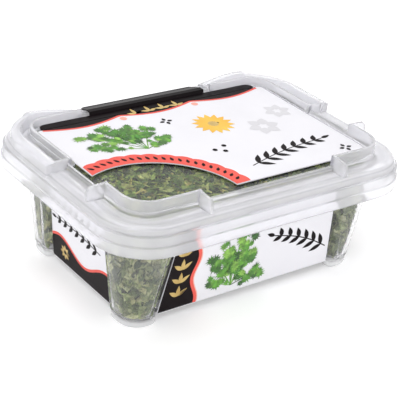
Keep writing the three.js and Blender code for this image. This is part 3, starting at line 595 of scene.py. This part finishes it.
def grip_height(x, y):
    along = abs(x)
    if y < HALF_Y / 2 or along >= GRIP_TOPS[-1][0]:
        return BACK_RIB_Z
    for (x0, z0), (x1, z1) in zip(GRIP_TOPS, GRIP_TOPS[1:]):
        if along <= x1:
            return lerp(z0, z1, (along - x0) / (x1 - x0))
    return BACK_RIB_Z


def grip_path(first_y, last_x):
    """The back grip's outer edge; its points lie closest where the grip's top drops."""
    half_x, half_y = HALF_X - GRIP_SIDE_INSET, HALF_Y - GRIP_BACK_INSET
    degrees = [0, 7, 15, 22, 30, 37, 45, 51, 57, 61, 64, 65.5, 67, 68.5, 71, 75, 79, 84, 90]
    path = [(half_x, first_y), (half_x, GRIP_START_Y)]
    path += [polar(half_x - GRIP_R, half_y - GRIP_R, GRIP_R, math.radians(a)) for a in degrees]
    return path + [(x, half_y) for x in (*GRIP_BACK_POINTS, last_x)]


def on_shoulder(x):
    return abs(x) > HALF_X - SHOULDER_STEP - 0.2


def grip_section(x, y):
    top = grip_height(x, y)
    return [
        (0, GRIP_FOOT_Z if on_shoulder(x) else LEDGE_Z - RIB_SINK), (0, top - GRIP_FALL - 0.35),
        (0.1, top - GRIP_FALL - 0.05), (0.35, top - 0.6), (0.8, top - 0.42), (2.3, top - 0.08),
        (2.6, top - 0.05), (2.82, top - 0.2), (2.92, top - 0.5), (GRIP_FOOT_WIDTH, LEDGE_Z - RIB_SINK),
    ]


def grip_hollow(x, y):
    top = grip_height(x, y) - GRIP_WALL
    return [
        (GRIP_WALL, GRIP_FOOT_Z - 0.4), (GRIP_WALL, top - GRIP_FALL + 0.1),
        (GRIP_WALL + 0.3, top - GRIP_FALL + 0.35), (GRIP_WIDTH - GRIP_WALL, top),
        (GRIP_FOOT_WIDTH - GRIP_WALL, GRIP_FOOT_Z - 0.4),
    ]


def plan_prism(name, x0, x1, y0, y1, radius, corner):
    """An upright block with one rounded plan corner: 0 at (x0, y0), 1 at (x1, y0)."""
    points = [(x0, y1), (x0, y0), (x1, y0), (x1, y1)]
    cx = x0 + radius if corner == 0 else x1 - radius
    start = math.pi if corner == 0 else -math.pi / 2
    angles = [start + math.pi / 2 * i / PRISM_STEPS for i in range(PRISM_STEPS + 1)]
    points[corner + 1:corner + 2] = [polar(cx, y0 + radius, radius, a) for a in angles]
    return loft(name, [[(x, y, z) for x, y in points] for z in (SKIRT_Z, FRONT_RIB_Z + 2)], CLEAR_LID)


def back_rib(sx):
    """A double-walled rib: an inner wall, the outer grip and the walls that close its two ends."""
    bottom = LEDGE_Z - RIB_SINK
    path = rib_path(BACK_RIB_INSET, BACK_RIB_X, BACK_RIB_Y, sx, 1)
    inner = wall_along(f"rib_b{sx}", path, bottom, lambda x, y: BACK_RIB_Z, sx)
    path = [(sx * x, y) for x, y in grip_path(GRIP_END_Y - 1, BACK_RIB_X)]
    grip = sweep(f"grip_{sx}", path, grip_section, sx)
    ends = sorted((sx * BACK_RIB_X, sx * HALF_X))
    prism = plan_prism(f"plan_{sx}", *ends, GRIP_END_Y, HALF_Y, GRIP_END_R, 1 if sx > 0 else 0)
    grip = boolean(grip, [prism], "INTERSECT")
    out_x, wall_x = HALF_X - GRIP_SIDE_INSET - GRIP_WIDTH, HALF_X - BACK_RIB_INSET - RIB_WALL
    in_y, out_y = HALF_Y - BACK_RIB_INSET - RIB_WALL, HALF_Y - GRIP_BACK_INSET - GRIP_WIDTH
    path = [(sx * x, BACK_RIB_Y) for x in (SIDE_GUSSET_X, wall_x, out_x)]
    side_end = wall_along(f"end_s{sx}", path, bottom,
                          lambda x, y: PANEL_Z + 1 if abs(x) < wall_x else BACK_RIB_Z - 0.2, sx)
    path = [(sx * BACK_RIB_X, y) for y in spaced(in_y, out_y, 7)]
    back_end = wall_along(f"end_b{sx}", path, bottom, grip_height, -sx)
    return [inner, grip, side_end, back_end]


def back_hollow(sx):
    path = grip_path(GRIP_END_Y + GRIP_WALL, BACK_RIB_X + GRIP_WALL)
    return sweep(f"hollow_{sx}", [(sx * x, y) for x, y in path], grip_hollow, sx)


lid = make_lid_shell()
lid = boolean(lid, [rib for sx in (1, -1) for rib in front_rib(sx) + back_rib(sx)], "UNION")
lid = boolean(lid, [back_hollow(1), back_hollow(-1)], "DIFFERENCE")
smooth_by_angle(lid, LID_ANGLE)
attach(lid, "root")
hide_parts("lid")


# Dried flakes

FLAKE_QUADS = 3
FLAKE_POINTS = 2 * (FLAKE_QUADS + 1)
TOP_SEED, SIDE_SEED = 4187, 2290
TOP_FLAKES, SIDE_FLAKES, SPECKS = 6200, 3600, 60

# Top flakes: their height, the half plan they fill, and from where and how far they lie lower
TOP_Z, TOP_HALF_X, TOP_HALF_Y, LEVEL_X, LEVEL_Y, EDGE_FALL = 33.9, 41.0, 27.2, 37, 23.5, 1.0

# Side flakes: their heights, how deep behind the wall, and how far beside a recessed panel
SIDE_HEIGHTS, SIDE_DEPTHS, PANEL_MARGIN = (3.8, 31.3), (0.9, 2.6), 1.5

# Specks: how far along a side they reach, and how far in from the lid's outline they lie
SPECK_X, SPECK_Y, SPECK_INSET = 34, 21, 1.5

# How deep behind the wall the core starts
CORE_DEPTH = 1.9


def flake_mesh(verts, faces, rng, centre, normal, length, lie, broad=1.0):
    """One curled, torn leaf fragment: a strip of three bent quads with ragged edges."""
    normal = Vector(normal).normalized()
    tilt = Vector((rng.gauss(0, lie), rng.gauss(0, lie), rng.gauss(0, lie)))
    up = (normal + tilt).normalized()
    turn = Vector((rng.uniform(-1, 1), rng.uniform(-1, 1), rng.uniform(-1, 1)))
    along = (turn - up * turn.dot(up)).normalized()
    across = up.cross(along)
    width = length * rng.uniform(0.28, 0.62) * broad
    curl, twist = rng.uniform(-0.5, 0.5) * length, rng.uniform(-0.35, 0.35)
    base = len(verts)
    for k in range(FLAKE_QUADS + 1):
        t = k / FLAKE_QUADS - 0.5
        spread = width * (0.5 - 0.28 * abs(2 * t) ** 1.6) * rng.uniform(0.7, 1.25)
        mid = Vector(centre) + along * (t * length) + up * (curl * (0.25 - t * t))
        tip = across + up * (twist * t)
        slip = along * rng.uniform(-0.14, 0.14) * length
        for s in (-1, 1):
            p = mid + tip * (s * spread) + slip * s
            verts.append(tuple(p))
    for k in range(FLAKE_QUADS):
        a = base + 2 * k
        faces.append((a, a + 1, a + 3, a + 2))


def held_in(x, y, inset, radius):
    """The same point, or the nearest one on the rounded plan outline at that inset."""
    mid_x, mid_y = HALF_X - inset - radius, HALF_Y - inset - radius
    over_x, over_y = max(abs(x) - mid_x, 0), max(abs(y) - mid_y, 0)
    shrink = min(1, radius / max(math.hypot(over_x, over_y), 1e-6))
    held_x = mid_x + over_x * shrink if over_x else abs(x)
    held_y = mid_y + over_y * shrink if over_y else abs(y)
    return math.copysign(held_x, x), math.copysign(held_y, y)


def under_lid(x, y, z):
    """Keep a point below the panel, inside the plug and clear of the wall recesses."""
    z = min(max(z, RECESS_TOP_Z + 0.2), PANEL_UNDER_Z - 0.2)
    inset = PLUG_INNER + 0.2 if z > PLUG_Z - 0.2 else MOUTH_INSET + TUB_WALL + 0.3
    return (*held_in(x, y, inset, CORNER_R - inset), z)


def inside_wall(x, y, z):
    """Keep a point above the floor and off the inner face of the wall."""
    z = max(z, FLOOR_Z + 0.1)
    inset, radius = wall_at(z)[:2]
    return (*held_in(x, y, inset + TUB_WALL + 0.1, radius - TUB_WALL - 0.1), z)


def make_top_flakes():
    rng = random.Random(TOP_SEED)
    verts, faces = [], []
    for _ in range(TOP_FLAKES):
        x, y = rng.uniform(-TOP_HALF_X, TOP_HALF_X), rng.uniform(-TOP_HALF_Y, TOP_HALF_Y)
        z = TOP_Z + rng.uniform(-1.0, 0.7) - (EDGE_FALL if abs(x) > LEVEL_X or abs(y) > LEVEL_Y else 0)
        flake_mesh(verts, faces, rng, (x, y, z), (0, 0, 1), rng.uniform(1.6, 4.2), 0.5, 0.85)
    obj = link("parsley_flakes_loose", [under_lid(*p) for p in verts], faces, LEAF)
    smooth_by_angle(obj, FLAKE_ANGLE)
    return obj


def keep_inside(moved, verts, centre, out, room):
    """Shift the last flake inwards until it reaches no more than the given room towards the wall."""
    over = max((Vector(p) - Vector(centre)).dot(out) for p in moved) - room
    if over > 0:
        verts[-len(moved):] = [tuple(Vector(p) - out * over) for p in moved]


def add_specks(verts, faces, rng):
    """Leaf dust inside the skirt, just below the lip."""
    for _ in range(SPECKS):
        side = rng.random() < 0.5
        x = rng.uniform(-SPECK_X, SPECK_X) if side else rng.choice((-1, 1)) * (HALF_X - SPECK_INSET)
        y = rng.choice((-1, 1)) * (HALF_Y - SPECK_INSET) if side else rng.uniform(-SPECK_Y, SPECK_Y)
        n = (0, 1, 0) if side else (1, 0, 0)
        centre = (x, y, SKIRT_Z + rng.uniform(0.5, 2.6))
        flake_mesh(verts, faces, rng, centre, n, rng.uniform(0.35, 0.9), 0.1)


def make_side_flakes():
    """Flakes inside the clear corner columns; s runs round a column from one side to the other."""
    rng = random.Random(SIDE_SEED)
    verts, faces = [], []
    for _ in range(SIDE_FLAKES):
        z = rng.uniform(*SIDE_HEIGHTS)
        inset, radius, px, py = wall_at(z)
        extra = TUB_WALL + rng.uniform(*SIDE_DEPTHS)
        half_x, half_y = HALF_X - inset - extra, HALF_Y - inset - extra
        r = max(radius - extra, LEAST_WALL_R)
        run_x, run_y = half_x - px - PANEL_MARGIN, half_y - py - PANEL_MARGIN
        s = rng.uniform(-run_y, run_x)
        sx, sy = CORNERS[rng.randrange(len(CORNERS))]
        if s > r:
            x, y, n = half_x - s, half_y, (0, 1, 0)
        elif s < -r:
            x, y, n = half_x, half_y + s, (1, 0, 0)
        else:
            a = math.pi / 4 * (1 + s / r)
            x, y = polar(half_x - r, half_y - r, r, a)
            n = (math.cos(a), math.sin(a), 0)
        length = min(rng.uniform(3.0, 6.8), 1.3 + 1.7 * min(run_x - s, s + run_y))
        n = Vector((sx * n[0], sy * n[1], 0.1))
        centre = (sx * x, sy * y, z)
        flake_mesh(verts, faces, rng, centre, n, length, 0.26, 1.3)
        room = extra - TUB_WALL - (0.75 if abs(s) <= r else 0.2)
        keep_inside(verts[-FLAKE_POINTS:], verts, centre, n.normalized(), room)
    verts = [inside_wall(*p) for p in verts]
    add_specks(verts, faces, rng)
    obj = link("parsley_flakes_side", verts, faces, SIDE_LEAF)
    smooth_by_angle(obj, FLAKE_ANGLE)
    return obj


def make_core():
    """The body of the filling, seen between the flakes; its near-black tones are painted shade of the deeper
    flakes.
    """
    extra = TUB_WALL + CORE_DEPTH
    rings = [
        tub_ring(32.6, extra + 1.0, 0, MOUTH_INSET), tub_ring(31.6, extra, 0, MOUTH_INSET),
        tub_ring(30.6, extra, 0), tub_ring(29.4, extra, RECESS_DEPTH),
        tub_ring(4.4, extra, RECESS_DEPTH), tub_ring(3.6, extra + 0.8, RECESS_DEPTH),
    ]
    return loft("parsley_core", rings, CORE_SHADE, CORE_ANGLE)


flakes = make_top_flakes()
for piece in (make_core(), make_side_flakes(), flakes):
    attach(piece, "root")
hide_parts("parsley_flakes")


# Printed films

FILM, FILM_GAP, LABEL_LOW_Z, LABEL_TOP_Z = 0.3, 0.3, 2.2, 28.6
ART_LIFT, ART_STEP, ART_LOW_V, ART_TOP_V = 0.03, 0.0012, 2.4, 28.4
WINDOW_X, WINDOW_Y, WINDOW_R, LID_SEED = -31.3, -26.3, 23.3, 311
DARK_HALF_X, DARK_FRONT_Y, DARK_BACK_Y, DARK_STEPS, DARK_STRIDE = 38.6, 24.9, 24.95, 80, 0.965

# Outer edge of the coral band, one scallop every 180 / SCALLOP_RATE degrees, and the dark band's arcs
SCALLOP_REACH, SCALLOP_DEPTH, SCALLOP_RATE = 4.6, 0.55, 18
ARC_DEPTH, ARC_WIDTH = 2.5, 25.7

LEAFLET_TEETH = 11
WHITE = ink("printed_film", (0.80, 0.79, 0.83), (0.84, 0.83, 0.87))
BLACK = ink("black_film", (0.004, 0.002, 0.003), (0.009, 0.005, 0.006), 0.3, 60.0, 0.07)
CORAL = ink("coral_ink", (0.80, 0.080, 0.060), (0.86, 0.11, 0.08))
BLUSH = ink("blush_ink", (0.90, 0.36, 0.29), (0.94, 0.44, 0.36))
GOLD = ink("gold_ink", (0.50, 0.33, 0.09), (0.70, 0.52, 0.20), 0.28, 300.0)
AMBER = ink("amber_ink", (0.86, 0.42, 0.03), (0.92, 0.62, 0.10))
PEARL = ink("pearl_ink", (0.66, 0.65, 0.68), (0.70, 0.69, 0.72))
GREEN = leaf_material("green_ink", [
    (0.012, 0.07, 0.005), (0.06, 0.26, 0.015), (0.14, 0.42, 0.03), (0.02, 0.12, 0.008), (0.30, 0.60, 0.08),
    (0.05, 0.22, 0.012), (0.10, 0.33, 0.02),
], 0.4)

for name in ("lid_label", "label_front", "label_right", "label_back", "label_left", "seal"):
    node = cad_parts[name]
    node.data.materials.clear()
    node.data.materials.append(BLACK if name == "seal" else WHITE)


def art(name, loops, place, material, step=ART_STEP):
    """Flat motifs a hair above a film; each loop lies a little above the one before it."""
    verts, faces = [], []
    for i, loop in enumerate(loops):
        base = len(verts)
        verts += [place(u, v, ART_LIFT + step * i) for u, v in loop]
        flat = [Vector((u, v, 0)) for u, v in loop]
        faces += [tuple(base + k for k in tri) for tri in tessellate_polygon([flat])]
    obj = link(name, verts, faces, material)
    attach(obj, "root")
    return obj


def leaf_loop(x, y, angle, length, width):
    """A pointed leaf from its foot at (x, y)."""
    ca, sa = math.cos(angle), math.sin(angle)
    side = [(t, math.sin(math.pi * t ** 0.8) * width / 2) for t in (0, 0.12, 0.28, 0.45, 0.62, 0.8, 1)]
    outline = side + [(t, -w) for t, w in reversed(side[1:-1])]
    return [(x + t * length * ca - w * sa, y + t * length * sa + w * ca) for t, w in outline]


def lobed_loop(x, y, angle, size, rng):
    """A curly leaflet with toothed lobes."""
    points = []
    for i in range(2 * LEAFLET_TEETH):
        reach = size * (0.5 if i % 2 == 0 else 0.27) * rng.uniform(0.72, 1.15)
        points.append(polar(x, y, reach, angle + 2 * math.pi * i / (2 * LEAFLET_TEETH)))
    return points


def ribbon(points, width):
    """A band of even width along a line of points."""
    left, right = [], []
    for i, (x, y) in enumerate(points):
        bx, by = points[max(i - 1, 0)]
        ax, ay = points[min(i + 1, len(points) - 1)]
        length = math.hypot(ax - bx, ay - by)
        nx, ny = -(ay - by) / length * width / 2, (ax - bx) / length * width / 2
        left.append((x + nx, y + ny))
        right.append((x - nx, y - ny))
    return left + right[::-1]


def disc(x, y, radius, count=28):
    return [polar(x, y, radius, 2 * math.pi * i / count) for i in range(count)]


def rosette(x, y, radius, petals, thin=0.42):
    loops = []
    for i in range(petals):
        angle = 2 * math.pi * i / petals
        foot = polar(x, y, 0.22 * radius, angle)
        loops.append(leaf_loop(*foot, angle, radius * 0.78, radius * thin))
    return loops


def branch(start, end, bow, pairs, length, width):
    """A bowed stem with pairs of pointed leaves, and one at its tip."""
    (x0, y0), (x1, y1) = start, end
    heading = math.atan2(y1 - y0, x1 - x0)

    def at(t):
        rise = bow * math.sin(math.pi * t)
        return lerp(x0, x1, t) - rise * math.sin(heading), lerp(y0, y1, t) + rise * math.cos(heading)

    loops = [ribbon([at(i / 16) for i in range(17)], 0.35)]
    for i in range(pairs):
        x, y = at((i + 0.6) / (pairs + 0.4))
        for turn in (0.75, -0.75):
            loops.append(leaf_loop(x, y, heading + turn, length * (1 - 0.35 * i / pairs), width))
    return loops + [leaf_loop(*at(1), heading, length * 0.7, width * 0.8)]


def sprig(rng, foot, tips, leaflets, size, spread):
    """Stems from one foot, each with a cloud of curly leaflets towards its tip."""
    stems, leaves = [], []
    for tx, ty in tips:
        mx = lerp(foot[0], tx, 0.5) + rng.uniform(-1, 1)
        my = lerp(foot[1], ty, 0.5) + rng.uniform(-0.6, 0.6)
        curve = []
        for i in range(9):
            t = i / 8
            curve.append((lerp(lerp(foot[0], mx, t), lerp(mx, tx, t), t),
                          lerp(lerp(foot[1], my, t), lerp(my, ty, t), t)))
        stems.append(ribbon(curve, 0.32))
        for _ in range(leaflets):
            t = rng.uniform(0.45, 1.08)
            x, y = lerp(foot[0], tx, t), lerp(foot[1], ty, t)
            leaves.append(lobed_loop(x + rng.gauss(0, spread), y + rng.gauss(0, spread * 0.7),
                                     rng.uniform(0, 6.3), size * rng.uniform(0.6, 1.2), rng))
    return stems + leaves


def on_lid(u, v, lift):
    """Place on the lid's label, u along X and v along Y."""
    return u, v, PANEL_Z + FILM_GAP + FILM + lift


def on_wall(quarter):
    """Place on a wall label, u along it and v upwards."""
    reach = HALF_Y if quarter % 2 == 0 else HALF_X
    low, high = (reach - wall_at(z)[0] - RECESS_DEPTH + FILM_GAP for z in (LABEL_LOW_Z, LABEL_TOP_Z))

    def place(u, v, lift):
        out = lerp(low, high, (v - LABEL_LOW_Z) / (LABEL_TOP_Z - LABEL_LOW_Z)) + FILM + lift
        return [(u, -out, v), (out, u, v), (-u, out, v), (-out, -u, v)][quarter]

    return place


def window_arc(radius_at, first, last, count):
    """Points round the window's centre, from one angle to another in degrees."""
    angles = [math.radians(lerp(first, last, i / count)) for i in range(count + 1)]
    return [polar(WINDOW_X, WINDOW_Y, radius_at(a), a) for a in angles]


def scallop(angle):
    return WINDOW_R + SCALLOP_REACH + SCALLOP_DEPTH * abs(math.sin(SCALLOP_RATE * angle))


def dark_edge():
    """The front edge of the lid's dark band: three arcs that bulge towards the front."""
    edge = []
    for i in range(DARK_STEPS + 1):
        x = -DARK_HALF_X + DARK_STRIDE * i
        bulge = ARC_DEPTH * abs(math.sin(math.pi * (x + DARK_HALF_X) / ARC_WIDTH))
        edge.append((x, DARK_FRONT_Y - bulge))
    return edge


def lid_art():
    rng = random.Random(LID_SEED)
    band = window_arc(lambda a: WINDOW_R + 0.02, 1.1, 113.1, 60) + window_arc(scallop, 108.6, 1.1, 216)
    art("art_lid_band", [band], on_lid, CORAL)
    dots = []
    for degrees in range(6, 108, 5):
        a = math.radians(degrees)
        dots.append(leaf_loop(*polar(WINDOW_X, WINDOW_Y, WINDOW_R + 1.6, a), a + 0.5, 2.2, 1.0))
    edge = dark_edge()
    dark = [*edge, (DARK_HALF_X, DARK_BACK_Y), (-DARK_HALF_X, DARK_BACK_Y)]
    art("art_lid_dark", [dark], on_lid, BLACK, 0.0)
    art("art_lid_line", [ribbon([(x, y - 0.4) for x, y in edge], 0.8)], on_lid, CORAL)
    art("art_lid_blush", [disc(x, 22.3, 1.1, 18) for x in (-12.9, 12.9)], on_lid, BLUSH)
    art("art_lid_pearl", rosette(22.5, 0.5, 5.4, 6, 0.62) + rosette(33.4, 7.6, 4.6, 6, 0.62), on_lid, PEARL)
    black = branch((3.0, -19.0), (33.0, -13.5), 1.2, 7, 5.2, 1.7) + dots
    black += rosette(35.4, -21.4, 2.3, 4, 0.5) + rosette(-2.5, 15.4, 2.2, 4, 0.5)
    black += [disc(x, y, 0.75, 14) for x, y in ((-0.8, -6.4), (1.6, -8.2), (3.2, -5.2))]
    art("art_lid_black", black, on_lid, BLACK)
    tips = [
        (-31.5, 8.5), (-28.5, 15.0), (-23.0, 18.5), (-16.0, 18.0), (-10.5, 13.5), (-8.5, 6.0), (-20.0, 12.0),
    ]
    art("art_lid_green", sprig(rng, (-17.5, 2.4), tips, 17, 3.6, 1.4), on_lid, GREEN)
    art("art_lid_gold", rosette(9.5, 8.2, 6.6, 14, 0.34), on_lid, AMBER)
    art("art_lid_gold_eye", [disc(9.5, 8.2, 2.0)], on_lid, GOLD, 0.0)


def long_label_art(name, quarter, seed):
    rng = random.Random(seed)
    place = on_wall(quarter)
    heights = [ART_LOW_V + i for i in range(27)]
    edge = [(-19.4 - 0.07 * v + math.sin(v * 0.42), v) for v in heights]
    panel = [(-30.4, ART_LOW_V), *edge, (-27.1, ART_TOP_V)]
    art(f"art_{name}_panel", [panel], place, BLACK)
    art(f"art_{name}_coral", [ribbon([(u + 0.5, v) for u, v in edge], 1.0)], place, CORAL)
    art(f"art_{name}_blush", [ribbon([(u + 1.2, v) for u, v in edge], 0.3)], place, BLUSH)
    gold = []
    for v in (6.5, 11.0, 15.5, 20.0):
        gold += [leaf_loop(-24.6, v, angle, 3.6, 1.3) for angle in (0.6, 1.57, 2.54)]
    art(f"art_{name}_gold", gold, place, GOLD)
    art(f"art_{name}_black", branch((28.5, 8.5), (7.0, 18.0), -1.2, 6, 4.8, 1.6), place, BLACK)
    tips = [
        (-14.5, 8.0), (-13.0, 14.5), (-9.5, 20.0), (-5.0, 22.5),
        (-1.0, 20.5), (0.5, 13.5), (-6.5, 14.5), (2.0, 7.0),
    ]
    art(f"art_{name}_green", sprig(rng, (-6.0, 4.6), tips, 15, 3.6, 1.2), place, GREEN)


def short_label_art(name, quarter):
    place = on_wall(quarter)
    half, steps = 14.6, 40
    top = [(-half + 2 * half * i / steps, 8.6 + 2.2 * math.sin(i * 0.19 + 0.4)) for i in range(steps + 1)]
    art(f"art_{name}_panel", [[(-15.0, ART_LOW_V), (15.0, ART_LOW_V), *reversed(top)]], place, BLACK)
    art(f"art_{name}_coral", [ribbon([(u, v + 0.4) for u, v in top], 0.9)], place, CORAL)
    art(f"art_{name}_gold", rosette(-8.0, 6.4, 2.4, 8), place, GOLD)
    black = branch((11.5, 16.0), (-11.5, 16.5), -0.8, 7, 3.6, 1.2)
    black += [disc(-12 + 3 * i, 22.6, 0.6, 14) for i in range(9)]
    art(f"art_{name}_black", black, place, BLACK)


lid_art()
long_label_art("front", 0, 71)
long_label_art("back", 2, 72)
short_label_art("right", 1)
short_label_art("left", 3)
sprays = []
for u in (-7.5, -2.5, 2.5, 7.5):
    for turn, length in ((0.35, 2.9), (1.57, 3.6), (2.79, 2.9)):
        sprays.append(leaf_loop(u, 23.7, turn, length, 1.15))
art("art_seal_gold", sprays, on_lid, GOLD)


# Stage, light and camera

FLOOR_HALF, FLOOR_DROP = 3000, 0.2
LAMP_TARGET = Vector((0, 0, 0.02))
WORLD_STRENGTH = 0.87

# The camera fitted to the photo: pitch, yaw and roll in degrees, place in mm, focal length in pixels
TURN = (27.67, 39.11, 6.10)
CAMERA_PLACE = (-203.24, -251.10, 159.28 + SKIRT_Z)
FOCAL, PHOTO_WIDTH, SENSOR = 1246.0, 400.0, 36.0


def make_floor():
    mat, *_, shader = new_material("floor_white")
    shader.inputs["Base Color"].default_value = (0.95, 0.95, 0.95, 1)
    shader.inputs["Roughness"].default_value = 0.9
    shader.inputs["Emission Color"].default_value = (1, 1, 1, 1)
    shader.inputs["Emission Strength"].default_value = 0.15
    s = FLOOR_HALF
    obj = link("floor", [(-s, -s, 0), (s, -s, 0), (s, s, 0), (-s, s, 0)], [(0, 1, 2, 3)], mat)
    obj.location.z = -FLOOR_DROP * MM
    return obj


def area(name, place, size, power):
    """A square lamp that faces the tub."""
    data = bpy.data.lights.new(name, "AREA")
    data.size = size
    data.energy = power
    obj = bpy.data.objects.new(name, data)
    bpy.context.scene.collection.objects.link(obj)
    obj.location = place
    obj.rotation_euler = (LAMP_TARGET - Vector(place)).to_track_quat("-Z", "Y").to_euler()


make_floor()
world = bpy.data.worlds.new("studio")
bpy.context.scene.world = world
world.use_nodes = True
world.node_tree.nodes["Background"].inputs["Color"].default_value = (1, 1, 1, 1)
world.node_tree.nodes["Background"].inputs["Strength"].default_value = WORLD_STRENGTH
bpy.context.scene.view_settings.view_transform = "Standard"
area("key", (-0.5, -0.25, 0.8), 0.5, 2.3)
area("fill", (0.6, -0.6, 0.4), 0.6, 0.8)
area("top", (0.1, 0.5, 0.9), 0.6, 1.2)


def make_camera():
    pitch, yaw, roll = (math.radians(a) for a in TURN)
    d = Vector((math.sin(yaw) * math.cos(pitch), math.cos(yaw) * math.cos(pitch), -math.sin(pitch)))
    right = d.cross(Vector((0, 0, 1))).normalized()
    up = right.cross(d)
    r2 = right * math.cos(roll) + up * math.sin(roll)
    u2 = up * math.cos(roll) - right * math.sin(roll)
    place = Vector(CAMERA_PLACE) * MM
    data = bpy.data.cameras.new("camera")
    data.sensor_width = SENSOR
    data.lens = FOCAL * SENSOR / PHOTO_WIDTH
    obj = bpy.data.objects.new("camera", data)
    bpy.context.scene.collection.objects.link(obj)
    obj.matrix_world = Matrix((
        (r2.x, u2.x, -d.x, place.x), (r2.y, u2.y, -d.y, place.y),
        (r2.z, u2.z, -d.z, place.z), (0, 0, 0, 1)))
    return obj


bpy.context.scene.camera = make_camera()
